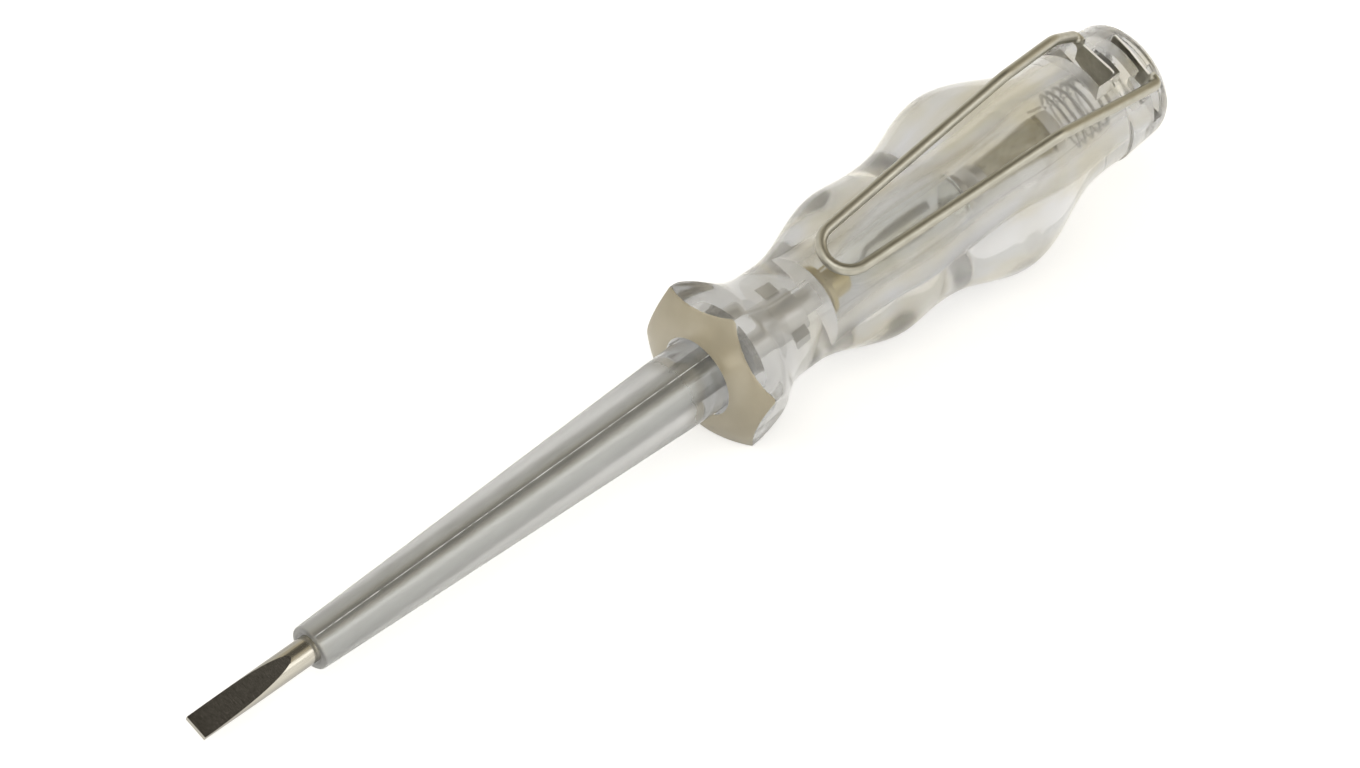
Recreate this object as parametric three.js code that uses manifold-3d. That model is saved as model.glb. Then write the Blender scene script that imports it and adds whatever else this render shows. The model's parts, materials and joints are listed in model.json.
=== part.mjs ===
// Voltage tester screwdriver: a clear handle with a glow lamp inside, an insulated blade and a wire pocket
// clip. Millimetres. The tool is built along X, from the blade's end at 0 to the rear end of the handle, and
// then laid down as on a bench, on a flat of its guard and its rear swelling, with +Z up.

import * as THREE from 'three';
import { mergeVertices } from 'three/addons/utils/BufferGeometryUtils.js';
import Module from 'manifold-3d';

const manifold = await Module();
manifold.setup();

// Clearances
const seatGap = 0.3; // between pieces that touch in the real tool
const cutOverrun = 1; // how far a cutter runs past the face that it cuts

// Blade
const rodRadius = 1.55;
const tipRadius = 1.49; // the rod narrows a little towards its end
const tipTaper = 8;
const bladeShowing = 15.5; // from the blade's end to the sleeve
const tipThickness = 0.6;
const tipLand = 1.2; // the parallel end of the tip
const grindLength = 12.6;
const grindWheelRadius = 125;
const endChamfer = 0.3;
const stubRadius = 0.9;
const stubLength = 3.4;
const stubProud = 0.5; // the stub's end stands this far into the lamp bore
const wingSpan = 4.8; // the swaged wings that key the rod in the moulding
const wingThickness = 0.9;
const wingLength = 2.8;
const wingSetback = 0.8; // from the rod's shoulder forward to the wings

// Blade sleeve
const sleeveShowing = 56.3; // from the sleeve's front rim to the guard
const sleeveSeatDepth = 4;
const sleeveFrontWall = 0.71;
const sleeveRearWall = 2.53;
const sleeveRimShare = 0.65; // of the front wall, taken by its rounded rim
const sleeveMouthShare = 0.25; // and by the chamfer round the rod

// Handle. Its length follows from its solid front and from what the lamp bore holds.
const solidLength = 16.7; // from the handle's front to the floor of the lamp bore
const rearMargin = 2.3; // from the clip's rear tongue to the handle's end
const boreClearance = 0.6; // round the lamp
const guardAcrossFlats = 17.2;
const guardFaceDepth = 2.1; // how far the guard's front face slopes back to its corners
const guardDomePower = 2.2; // 1 would make that face a straight cone, and more makes it rounder
const guardLand = 0.3;
const guardLean = THREE.MathUtils.degToRad(6); // the flats lean in from the corners to the front face
const waistShare = 0.195; // places of the waist, neck and swellings, along the handle from its front
const waistRadius = 6.27;
const frontSwellingShare = 0.3695;
const frontSwellingRadius = 9.06;
const neckShare = 0.4443;
const neckRadius = 8.7;
const rearSwellingShare = 0.632;
const rearSwellingRadius = 11.3;
const rearNeckLength = 0.8; // straight, in front of the collar
const rearNeckRadius = 7.35;
const collarLength = 6.9;
const collarRadius = 7.5;
const collarRearRadius = 6.95;
const collarCreaseWidth = 0.5;
const collarCreaseDepth = 0.2;
const collarRimRadius = 0.6;
const hollowShares = [2.3, 1.1, 1.1, 1.5, 1.6]; // of each wave of the outline: above 1 its hollow is longer

// Pocket clip, with heights and spreads measured from the tool's axis
const wireRadius = 0.65;
const clipTurn = THREE.MathUtils.degToRad(30); // from a guard flat round to the next corner
const clipLift = THREE.MathUtils.degToRad(5); // how far the clip springs open
const loopRadius = 2.9;
const loopSetback = 8.3; // from the front swelling forward to the loop's front
const kinkOverrun = 4.2; // from the rear swelling back to the kink in the legs
const kinkSpread = 4.55;
const kinkLift = 1.4; // of the wire at the kink above the rear swelling's reach
const kneeSetback = 5.2; // from a tongue forward to its leg's knee
const kneeBend = 1;
const tongueBend = 1.1;
const tongueThickness = 0.4;
const tongueSink = 0.3; // of a tongue's top edge below the collar's outside
const tongueGrip = 0.7; // how far the front tongue reaches over the spring's end
const frontTongueReach = 0.9; // how far it passes the tool's axis
const frontLegSpread = 5.35;
const frontKneeRise = 3.65; // of the knee above the wire where it enters the collar
const tonguePitch = 3.7; // from the front tongue to the rear one
const rearTongueReach = 2.7;
const rearLegSpread = 4.65;
const rearKneeRise = 1.55;
const slotClearance = 0.35;
const mouthSetback = 2.7; // relief for the bend in front of each slot

// Glow lamp
const frontCapLength = 4.2;
const frontCapRadius = 1.95;
const frontCapFlangeRadius = 2.9;
const frontCapFlange = 0.9;
const lampLength = 16.6;
const lampRadius = 3;
const lampWall = 0.5;
const stemLength = 2.2;
const stemRadius = 1.9;
const leadRadius = 0.3;
const electrodeRadius = 0.5;
const electrodeLength = 7;
const electrodeOffset = 1;
const electrodeSetback = 1.5; // between one electrode's end and the other's bend
const leadBend = 1.2;
const lampContactLength = 1;
const lampContactRadius = 2.5;

// Resistor
const resistorRadius = 2;
const resistorLength = 9.2;
const resistorCapWall = 0.3;
const resistorCapGrip = 1.3; // how far a cap reaches over the body
const resistorPointLength = 2;
const resistorDomeLength = 1.3;

// Contact spring
const springWireRadius = 0.25;
const springLength = 8.4; // as pressed between the resistor and the clip's front tongue
const springTurns = 5.5;
const springCloseShare = 0.2; // how much tighter its end turns are than the mean

// Smoothness
const handleSides = 60;
const cutterSides = 24;
const turnedSides = 32;
const smallSides = 20;
const wireSides = 12;
const springSides = 5;
const springStepsPerTurn = 8;
const domeSteps = 8;
const waveSteps = 9;
const arcSteps = 8;
const bendSteps = 5;
const loopSteps = 14;
const filletSteps = 4;
const weldDistance = 0.0001;

// Worked out along the tool, from the blade's end to the floor of the lamp bore
const sleeveFront = bladeShowing;
const handleFront = sleeveFront + sleeveShowing;
const boreFloor = handleFront + solidLength;
const stubEnd = boreFloor + stubProud;
const rodEnd = stubEnd - stubLength;

// Worked out along the lamp bore, from the blade's stub to the handle's end
const frontCapStart = stubEnd + seatGap;
const lampStart = frontCapStart + frontCapLength + seatGap;
const lampEnd = lampStart + lampLength;
const lampContactStart = lampEnd + seatGap;
const resistorPointStart = lampContactStart + lampContactLength + seatGap;
const resistorStart = resistorPointStart + resistorPointLength;
const resistorEnd = resistorStart + resistorLength;
const resistorDomeEnd = resistorEnd + seatGap + resistorDomeLength;
const springStart = resistorDomeEnd + seatGap;
const springEnd = springStart + springLength;
const frontTongueAt = springEnd + seatGap + tongueThickness / 2;
const rearTongueAt = frontTongueAt + tonguePitch;
const handleRear = rearTongueAt + rearMargin;

// Worked out on the handle
const handleLength = handleRear - handleFront;
const waistAt = handleFront + handleLength * waistShare;
const frontSwellingAt = handleFront + handleLength * frontSwellingShare;
const neckAt = handleFront + handleLength * neckShare;
const rearSwellingAt = handleFront + handleLength * rearSwellingShare;
const collarFront = handleRear - collarLength;
const rearNeckAt = collarFront - rearNeckLength;
const boreRadius = lampRadius + boreClearance;
const guardFlatRadius = guardAcrossFlats / 2;
const guardCornerRadius = guardFlatRadius / Math.cos(Math.PI / 6);
const guardCornersAt = handleFront + guardFaceDepth;
const sleeveBoreRadius = rodRadius + seatGap;
const sleeveFrontRadius = sleeveBoreRadius + sleeveFrontWall;
const sleeveRearRadius = sleeveBoreRadius + sleeveRearWall;
const sleeveSocketRadius = sleeveRearRadius + seatGap;
const sleeveSocketEnd = handleFront + sleeveSeatDepth + seatGap;

// Worked out on the clip
const springRadius = boreRadius - seatGap;
const loopFrontAt = frontSwellingAt - loopSetback;
const kinkAt = rearSwellingAt + kinkOverrun;
const kinkHeight = Math.sqrt(rearSwellingRadius ** 2 - kinkSpread ** 2) + wireRadius + kinkLift;
const tongueTopHeight = collarRadius - tongueSink;
const tongueHeight = tongueTopHeight - springRadius + tongueGrip;
const tongueMiddle = tongueTopHeight - tongueHeight / 2;
const tongueEntryHeight = tongueTopHeight - wireRadius;
const frontLeg = {
  tongueAt: frontTongueAt,
  side: 1,
  reach: frontTongueReach,
  legSpread: frontLegSpread,
  kneeHeight: tongueEntryHeight + frontKneeRise,
};
const rearLeg = {
  tongueAt: rearTongueAt,
  side: -1,
  reach: rearTongueReach,
  legSpread: rearLegSpread,
  kneeHeight: tongueEntryHeight + rearKneeRise,
};

// Colours
const looks = {
  clearPlastic: { color: 0xd6d4cc, roughness: 0.08, metalness: 0, transparent: true, opacity: 0.35 },
  frostedPlastic: { color: 0xb9bab4, roughness: 0.5, metalness: 0, transparent: true, opacity: 0.8 },
  bladeSteel: { color: 0x6b6963, roughness: 0.35, metalness: 1 },
  nickelWire: { color: 0xb4ae9c, roughness: 0.25, metalness: 1 },
  brass: { color: 0xc2a25a, roughness: 0.25, metalness: 1 },
  lampGlass: { color: 0xe4eceb, roughness: 0.03, metalness: 0, transparent: true, opacity: 0.3 },
  nickel: { color: 0xa9a69c, roughness: 0.35, metalness: 1 },
  resistorBrown: { color: 0x6a5a33, roughness: 0.6, metalness: 0 },
  springSteel: { color: 0x55544f, roughness: 0.35, metalness: 1 },
};

function piece(name, geometry, look) {
  const mesh = new THREE.Mesh(geometry, new THREE.MeshStandardMaterial(looks[look]));
  mesh.name = name;
  return mesh;
}

// A geometry's own corners only, with shared ones merged and the empty triangles at its poles left out
function welded(geometry) {
  const bare = new THREE.BufferGeometry();
  bare.setAttribute('position', geometry.getAttribute('position'));
  if (geometry.index) bare.setIndex(geometry.index);
  const merged = mergeVertices(bare, weldDistance);
  const kept = [];
  for (let i = 0; i < merged.index.count; i += 3) {
    const [a, b, c] = [merged.index.getX(i), merged.index.getX(i + 1), merged.index.getX(i + 2)];
    if (a !== b && b !== c && c !== a) kept.push(a, b, c);
  }
  merged.setIndex(kept);
  return merged;
}

function toSolid(geometry) {
  const shape = welded(geometry);
  return new manifold.Manifold(new manifold.Mesh({
    numProp: 3,
    vertProperties: new Float32Array(shape.getAttribute('position').array),
    triVerts: new Uint32Array(shape.index.array),
  }));
}

function toGeometry(solid) {
  const mesh = solid.getMesh();
  const geometry = new THREE.BufferGeometry();
  geometry.setAttribute('position', new THREE.BufferAttribute(mesh.vertProperties, 3));
  geometry.setIndex(new THREE.BufferAttribute(mesh.triVerts, 1));
  geometry.computeVertexNormals();
  return geometry;
}

// A profile of [place along the tool, radius] turned about the tool's axis
function turned(profile, sides) {
  const points = profile.map(([along, radius]) => new THREE.Vector2(radius, along));
  return welded(new THREE.LatheGeometry(points, sides).rotateZ(-Math.PI / 2));
}

// Half a wave between two [place, radius] stations, without the first. Its hollow end is the longer one.
function wave([fromAt, fromRadius], [toAt, toRadius], hollowShare) {
  const [low, high] = [Math.min(fromRadius, toRadius), Math.max(fromRadius, toRadius)];
  const points = [];
  for (let i = 1; i <= waveSteps; i++) {
    const share = i / waveSteps;
    const fromLow = fromRadius < toRadius ? share : 1 - share;
    const rise = (fromLow * fromLow * (3 - 2 * fromLow)) ** hollowShare;
    points.push([fromAt + (toAt - fromAt) * share, low + (high - low) * rise]);
  }
  return points;
}

// A quarter circle from one angle to another about [place, radius], both ends included
function fillet([centreAt, centreRadius], size, fromAngle, toAngle, steps = filletSteps) {
  const points = [];
  for (let i = 0; i <= steps; i++) {
    const angle = fromAngle + (toAngle - fromAngle) * (i / steps);
    points.push([centreAt + size * Math.cos(angle), centreRadius + size * Math.sin(angle)]);
  }
  return points;
}

// A box between two opposite corners
function block(low, high) {
  const size = high.clone().sub(low);
  const middle = low.clone().add(high).divideScalar(2);
  return new THREE.BoxGeometry(size.x, size.y, size.z).translate(middle.x, middle.y, middle.z);
}

// A closed skin over rings of points, each seen anticlockwise from the path's start, capped at both ends
function lofted(rings) {
  const sides = rings[0].length;
  const faces = [];
  for (let ring = 0; ring < rings.length - 1; ring++) {
    for (let side = 0; side < sides; side++) {
      const next = (side + 1) % sides;
      const [a, b] = [ring * sides + side, ring * sides + next];
      faces.push(a, b + sides, b, a, a + sides, b + sides);
    }
  }
  const last = (rings.length - 1) * sides;
  for (let side = 1; side < sides - 1; side++) {
    faces.push(0, side, side + 1, last, last + side + 1, last + side);
  }
  const geometry = new THREE.BufferGeometry();
  const numbers = rings.flat().flatMap((point) => point.toArray());
  geometry.setAttribute('position', new THREE.Float32BufferAttribute(numbers, 3));
  geometry.setIndex(faces);
  return geometry;
}

// A route through corners, each { at, bend, ...what it carries } and rounded over its own bend length
function rounded(corners) {
  const route = [];
  corners.forEach((corner, i) => {
    if (!corner.bend) {
      route.push({ ...corner, point: corner.at });
      return;
    }
    const [start, end] = [corners[i - 1], corners[i + 1]].map((other) => (
      corner.at.clone().lerp(other.at, corner.bend / corner.at.distanceTo(other.at))
    ));
    const bend = new THREE.QuadraticBezierCurve3(start, corner.at, end);
    bend.getPoints(bendSteps).forEach((point) => route.push({ ...corner, point }));
  });
  return route;
}

// Rings round a route: each station has a point, a width across the route and a height along +Z. A level one
// stands upright, however the route climbs there.
function ringsAlong(route, sides) {
  const up = new THREE.Vector3(0, 0, 1);
  return route.map((station, i) => {
    const before = route[Math.max(i - 1, 0)].point;
    const after = route[Math.min(i + 1, route.length - 1)].point;
    const forward = after.clone().sub(before);
    if (station.level) forward.z = 0;
    forward.normalize();
    const across = new THREE.Vector3().crossVectors(forward, up).normalize();
    const tall = new THREE.Vector3().crossVectors(across, forward);
    const ring = [];
    for (let side = 0; side < sides; side++) {
      const angle = (2 * Math.PI * side) / sides;
      const squared = (value) => Math.sign(value) * Math.abs(value) ** station.roundness;
      ring.push(station.point.clone()
        .addScaledVector(across, squared(Math.cos(angle)) * station.width / 2)
        .addScaledVector(tall, squared(Math.sin(angle)) * station.height / 2));
    }
    return ring;
  });
}

// Handle

// The guard's rounded front face, from the sleeve's socket to the corners, both ends included
function guardDome() {
  const points = [];
  for (let i = 0; i <= domeSteps; i++) {
    const share = i / domeSteps;
    const along = handleFront + guardFaceDepth * share ** guardDomePower;
    points.push([along, sleeveSocketRadius + (guardCornerRadius - sleeveSocketRadius) * share]);
  }
  return points;
}

function handleProfile() {
  const swellings = [
    [guardCornersAt + guardLand, guardCornerRadius],
    [waistAt, waistRadius],
    [frontSwellingAt, frontSwellingRadius],
    [neckAt, neckRadius],
    [rearSwellingAt, rearSwellingRadius],
    [rearNeckAt, rearNeckRadius],
  ];
  const outside = [...guardDome(), swellings[0]];
  hollowShares.forEach((share, i) => outside.push(...wave(swellings[i], swellings[i + 1], share)));
  outside.push([collarFront - collarCreaseWidth, rearNeckRadius]);
  outside.push([collarFront - collarCreaseWidth / 2, rearNeckRadius - collarCreaseDepth]);
  outside.push([collarFront, collarRadius]);
  const rimCentre = [handleRear - collarRimRadius, collarRearRadius - collarRimRadius];
  outside.push(...fillet(rimCentre, collarRimRadius, Math.PI / 2, 0));
  const inside = [
    [handleRear, boreRadius],
    [boreFloor, boreRadius],
    [boreFloor, stubRadius + seatGap],
    [rodEnd + seatGap, stubRadius + seatGap],
    [rodEnd + seatGap, sleeveBoreRadius],
    [sleeveSocketEnd, sleeveBoreRadius],
    [sleeveSocketEnd, sleeveSocketRadius],
    [handleFront, sleeveSocketRadius],
  ];
  return [...outside, ...inside];
}

// What is left outside a hexagon with a flat on top, from the guard's front to the waist
function hexagonCutter() {
  const front = handleFront - cutOverrun;
  const outside = guardCornerRadius + cutOverrun;
  const flatAt = (along) => guardFlatRadius - Math.max(0, guardCornersAt - along) * Math.tan(guardLean);
  const rings = [front - cutOverrun, guardCornersAt, waistAt + cutOverrun].map((along) => {
    const cornerRadius = flatAt(along) / Math.cos(Math.PI / 6);
    const ring = [];
    for (let i = 0; i < 6; i++) {
      const angle = ((i + 0.5) * Math.PI) / 3;
      ring.push(new THREE.Vector3(along, cornerRadius * Math.sin(angle), cornerRadius * Math.cos(angle)));
    }
    return ring;
  });
  const blank = turned([[front, 0], [front, outside], [waistAt, outside], [waistAt, 0]], cutterSides);
  return toSolid(blank).subtract(toSolid(lofted(rings)));
}

// The wings' size with a clearance all round, behind the rod's shoulder
function wings(clearance) {
  const rear = rodEnd - wingSetback;
  const half = new THREE.Vector3(0, wingSpan / 2 + clearance, wingThickness / 2 + clearance);
  const low = new THREE.Vector3(rear - wingLength - clearance, -half.y, -half.z);
  const high = new THREE.Vector3(rear + clearance, half.y, half.z);
  return block(low, high);
}

// A slot across the collar for one tongue, open at the top and on the side where its leg comes in
function tongueSlot({ tongueAt, side, reach, legSpread }) {
  const halfWidth = tongueThickness / 2 + slotClearance;
  const floor = tongueTopHeight - tongueHeight - seatGap - tonguePitch / 2 * Math.sin(clipLift);
  const outside = collarRadius + cutOverrun;
  const [blind, open] = [-side * (reach + slotClearance), side * outside];
  const slotLow = new THREE.Vector3(tongueAt - halfWidth, Math.min(blind, open), floor);
  const slotHigh = new THREE.Vector3(tongueAt + halfWidth, Math.max(blind, open), outside);
  const mouthInner = side * (legSpread - tongueBend - 2 * wireRadius);
  const mouthFloor = tongueEntryHeight - wireRadius - 2 * slotClearance;
  const mouthLow = new THREE.Vector3(tongueAt - mouthSetback, Math.min(mouthInner, open), mouthFloor);
  const mouthRear = tongueAt + wireRadius + slotClearance;
  const mouthHigh = new THREE.Vector3(mouthRear, Math.max(mouthInner, open), outside);
  return toSolid(block(slotLow, slotHigh)).add(toSolid(block(mouthLow, mouthHigh)));
}

function handle() {
  const slots = tongueSlot(frontLeg).add(tongueSlot(rearLeg));
  const turn = THREE.MathUtils.radToDeg(clipTurn);
  const body = toSolid(turned(handleProfile(), handleSides))
    .subtract(hexagonCutter())
    .subtract(toSolid(wings(seatGap)).rotate([turn, 0, 0]))
    .subtract(slots.rotate([turn, 0, 0]));
  return piece('handle', toGeometry(body), 'clearPlastic');
}

// Blade sleeve

function bladeSleeve() {
  const seatEnd = handleFront + sleeveSeatDepth;
  const rimRadius = sleeveFrontWall * sleeveRimShare;
  const mouth = sleeveFrontWall * sleeveMouthShare;
  const rim = [sleeveFront + rimRadius, sleeveFrontRadius - rimRadius];
  const profile = [
    [sleeveFront + mouth, sleeveBoreRadius],
    [sleeveFront, sleeveBoreRadius + mouth],
    ...fillet(rim, rimRadius, Math.PI, Math.PI / 2),
    [handleFront, sleeveRearRadius],
    [seatEnd - endChamfer, sleeveRearRadius],
    [seatEnd, sleeveRearRadius - endChamfer],
    [seatEnd, sleeveBoreRadius],
    [sleeveFront + mouth, sleeveBoreRadius],
  ];
  return piece('blade_sleeve', turned(profile, turnedSides), 'frostedPlastic');
}

// Blade

// What the grinding wheel takes off one side of the tip, seen from the edge of the blade
function grindCutter() {
  const start = new THREE.Vector2(tipLand, tipThickness / 2);
  const end = new THREE.Vector2(grindLength, rodRadius);
  const chord = end.clone().sub(start);
  const toCentre = Math.sqrt(grindWheelRadius ** 2 - chord.lengthSq() / 4);
  const square = new THREE.Vector2(-chord.y, chord.x).setLength(toCentre);
  const centre = start.clone().add(end).divideScalar(2).add(square);
  const outline = new THREE.Shape();
  outline.moveTo(-cutOverrun, start.y);
  outline.lineTo(start.x, start.y);
  const startAngle = start.clone().sub(centre).angle();
  const endAngle = end.clone().sub(centre).angle();
  for (let i = 1; i <= arcSteps; i++) {
    const angle = startAngle + (endAngle - startAngle) * (i / arcSteps);
    const onWheel = new THREE.Vector2(Math.cos(angle), Math.sin(angle)).multiplyScalar(grindWheelRadius);
    outline.lineTo(centre.x + onWheel.x, centre.y + onWheel.y);
  }
  outline.lineTo(end.x, rodRadius + cutOverrun);
  outline.lineTo(-cutOverrun, rodRadius + cutOverrun);
  const width = 2 * (rodRadius + cutOverrun);
  const slab = new THREE.ExtrudeGeometry(outline, { depth: width, bevelEnabled: false });
  return slab.translate(0, 0, -width / 2).rotateX(Math.PI / 2);
}

function blade() {
  const profile = [
    [0, 0],
    [0, tipRadius],
    [tipTaper, rodRadius],
    [rodEnd - endChamfer, rodRadius],
    [rodEnd, rodRadius - endChamfer],
    [rodEnd, stubRadius],
    [stubEnd - endChamfer, stubRadius],
    [stubEnd, stubRadius - endChamfer],
    [stubEnd, 0],
  ];
  const ground = toSolid(grindCutter());
  const steel = toSolid(turned(profile, turnedSides))
    .subtract(ground)
    .subtract(ground.rotate([180, 0, 0]))
    .add(toSolid(wings(0)));
  return piece('blade', toGeometry(steel), 'bladeSteel');
}

// Pocket clip, as a route from the front tongue's free end, round the loop, to the rear tongue's free end

// The height of the legs' straight run from the loop to the kink, which clears the front swelling
function legHeightAt(along) {
  const spread = loopRadius + (kinkSpread - loopRadius) * loopSetback / (kinkAt - loopFrontAt);
  const restHeight = Math.sqrt(frontSwellingRadius ** 2 - spread ** 2) + wireRadius + seatGap;
  return restHeight + (kinkHeight - restHeight) * (along - frontSwellingAt) / (kinkAt - frontSwellingAt);
}

// One leg and its tongue, from the free end to the loop
function legRoute({ tongueAt, side, reach, legSpread, kneeHeight }) {
  const wire = { width: 2 * wireRadius, height: 2 * wireRadius, roundness: 1 };
  const flat = { width: tongueThickness, height: tongueHeight, roundness: 0.35, level: true };
  const [halfWidth, halfHeight] = [(wire.width + flat.width) / 2, (wire.height + flat.height) / 2];
  const half = { width: halfWidth, height: halfHeight, roundness: 0.7, level: true };
  const at = (along, spread, height) => new THREE.Vector3(along, side * spread, height);
  const loopStart = loopFrontAt + loopRadius;
  const inner = legSpread - tongueBend;
  return rounded([
    { ...flat, height: tongueHeight - tongueThickness * 2, at: at(tongueAt, -reach, tongueMiddle) },
    { ...flat, at: at(tongueAt, tongueThickness - reach, tongueMiddle) },
    { ...flat, at: at(tongueAt, inner - 2 * wireRadius, tongueMiddle) },
    { ...half, at: at(tongueAt, inner - wireRadius, (tongueMiddle + tongueEntryHeight) / 2) },
    { ...wire, at: at(tongueAt, inner - wireRadius / 4, tongueEntryHeight), level: true },
    { ...wire, at: at(tongueAt, legSpread, tongueEntryHeight), bend: tongueBend },
    { ...wire, at: at(tongueAt - kneeSetback, legSpread, kneeHeight), bend: kneeBend },
    { ...wire, at: at(kinkAt, kinkSpread, kinkHeight), bend: kneeBend },
    { ...wire, at: at(loopStart, loopRadius, legHeightAt(loopStart)) },
  ]);
}

function loopRoute() {
  const wire = { width: 2 * wireRadius, height: 2 * wireRadius, roundness: 1 };
  const route = [];
  for (let i = 1; i < loopSteps; i++) {
    const angle = (Math.PI * i) / loopSteps;
    const along = loopFrontAt + loopRadius * (1 - Math.sin(angle));
    const point = new THREE.Vector3(along, loopRadius * Math.cos(angle), legHeightAt(along));
    route.push({ ...wire, point });
  }
  return route;
}

function pocketClip() {
  const route = [...legRoute(frontLeg), ...loopRoute(), ...legRoute(rearLeg).reverse()];
  return piece('pocket_clip', welded(lofted(ringsAlong(route, wireSides))), 'nickelWire');
}

// Glow lamp

function lampFrontCap() {
  const end = frontCapStart + frontCapLength;
  const profile = [
    [frontCapStart, 0],
    [frontCapStart, frontCapFlangeRadius - endChamfer],
    [frontCapStart + endChamfer, frontCapFlangeRadius],
    [frontCapStart + frontCapFlange, frontCapFlangeRadius],
    [frontCapStart + frontCapFlange, frontCapRadius],
    [end - endChamfer, frontCapRadius],
    [end, frontCapRadius - endChamfer],
    [end, 0],
  ];
  return piece('lamp_front_cap', turned(profile, turnedSides), 'brass');
}

function lampGlass() {
  const hole = leadRadius + seatGap;
  const dome = [lampStart + lampRadius, 0];
  const holeAngle = Math.asin(hole / lampRadius);
  const innerHoleAngle = Math.asin(hole / (lampRadius - lampWall));
  const profile = [
    ...fillet(dome, lampRadius, Math.PI - holeAngle, Math.PI / 2, arcSteps),
    [lampEnd, lampRadius],
    [lampEnd, lampRadius - lampWall],
    ...fillet(dome, lampRadius - lampWall, Math.PI / 2, Math.PI - innerHoleAngle, arcSteps),
  ];
  profile.push(profile[0]);
  return piece('lamp_glass', turned(profile, turnedSides), 'lampGlass');
}

function lampStem() {
  const start = lampEnd - stemLength;
  const hole = leadRadius + seatGap;
  const profile = [
    [start, hole],
    [start + stemRadius - hole, stemRadius],
    [lampEnd - seatGap, lampRadius - lampWall - seatGap],
    [lampEnd, lampRadius - lampWall - seatGap],
    [lampEnd, hole],
    [start, hole],
  ];
  return piece('lamp_stem', turned(profile, smallSides), 'lampGlass');
}

// A lead on the axis that steps out to one side and carries an electrode, drawn from its fixed end
function electrode(name, leadStart, leadLength, direction, side) {
  const lead = { width: 2 * leadRadius, height: 2 * leadRadius, roundness: 1 };
  const rod = { width: 2 * electrodeRadius, height: 2 * electrodeRadius, roundness: 1 };
  const at = (along, offset) => new THREE.Vector3(leadStart + direction * along, side * offset, 0);
  const stepEnd = leadLength + 2 * leadBend;
  const route = rounded([
    { ...lead, at: at(0, 0) },
    { ...lead, at: at(leadLength, 0), bend: leadBend / 2 },
    { ...lead, at: at(leadLength + leadBend, electrodeOffset), bend: leadBend / 2 },
    { ...lead, at: at(stepEnd, electrodeOffset) },
    { ...rod, at: at(stepEnd + electrodeRadius, electrodeOffset) },
    { ...rod, at: at(stepEnd + electrodeLength, electrodeOffset) },
  ]);
  return piece(name, welded(lofted(ringsAlong(route, wireSides))), 'nickel');
}

function lampFrontElectrode() {
  const leadStart = frontCapStart + frontCapLength + seatGap;
  const rearEnd = lampEnd - stemLength - electrodeSetback;
  const leadLength = rearEnd - electrodeLength - 2 * leadBend - leadStart;
  return electrode('lamp_front_electrode', leadStart, leadLength, 1, 1);
}

function lampRearElectrode() {
  return electrode('lamp_rear_electrode', lampEnd, stemLength, -1, -1);
}

function lampRearContact() {
  const end = lampContactStart + lampContactLength;
  const profile = [
    [lampContactStart, 0],
    [lampContactStart, lampContactRadius - endChamfer],
    [lampContactStart + endChamfer, lampContactRadius],
    [end, lampContactRadius],
    [end, 0],
  ];
  return piece('lamp_rear_contact', turned(profile, smallSides), 'nickel');
}

// Resistor

function resistorBody() {
  const necked = resistorRadius - endChamfer;
  const profile = [
    [resistorStart + seatGap, 0],
    [resistorStart + seatGap, necked],
    [resistorStart + resistorCapGrip, necked],
    [resistorStart + resistorCapGrip + endChamfer, resistorRadius],
    [resistorEnd - resistorCapGrip - endChamfer, resistorRadius],
    [resistorEnd - resistorCapGrip, necked],
    [resistorEnd, necked],
    [resistorEnd, 0],
  ];
  return piece('resistor_body', turned(profile, turnedSides), 'resistorBrown');
}

// Both caps are cups over the body's necked ends
const cupBore = resistorRadius - endChamfer + seatGap;
const cupRadius = cupBore + resistorCapWall;

function resistorFrontCap() {
  const lip = resistorStart + resistorCapGrip - seatGap;
  const profile = [
    [resistorPointStart, 0],
    [resistorPointStart, leadRadius],
    [resistorPointStart + resistorPointLength / 2, stubRadius],
    [resistorStart - resistorCapWall, cupRadius],
    [lip, cupRadius],
    [lip, cupBore],
    [resistorStart, cupBore],
    [resistorStart, 0],
  ];
  return piece('resistor_front_cap', turned(profile, turnedSides), 'nickel');
}

function resistorRearCap() {
  const lip = resistorEnd - resistorCapGrip + seatGap;
  const floor = resistorEnd + seatGap;
  const domeCentre = [floor, 0];
  const dome = fillet(domeCentre, 1, Math.PI / 2, 0, arcSteps);
  const profile = [
    [floor, 0],
    [floor, cupBore],
    [lip, cupBore],
    [lip, cupRadius],
    ...dome.map(([along, radius]) => [floor + (along - floor) * resistorDomeLength, radius * cupRadius]),
  ];
  return piece('resistor_rear_cap', turned(profile, turnedSides), 'nickel');
}

// Contact spring: one helix whose end turns lie closer than those in the middle

class SpringLine extends THREE.Curve {
  getPoint(share, target = new THREE.Vector3()) {
    const angle = 2 * Math.PI * springTurns * share;
    const length = springEnd - springStart - 2 * springWireRadius;
    const reach = share - springCloseShare * Math.sin(2 * Math.PI * share) / (2 * Math.PI);
    const radius = springRadius - springWireRadius;
    const along = springStart + springWireRadius + length * reach;
    return target.set(along, radius * Math.cos(angle), radius * Math.sin(angle));
  }
}

// The least distance between points of the spring's line one turn or more apart, less the wire itself
function leastSpringGap(line) {
  const perTurn = 48;
  const count = Math.round(springTurns * perTurn);
  const points = line.getPoints(count);
  let least = Infinity;
  for (let i = 0; i < points.length; i++) {
    for (let j = i + perTurn / 2; j < points.length; j++) {
      least = Math.min(least, points[i].distanceTo(points[j]));
    }
  }
  return least - 2 * springWireRadius;
}

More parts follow.
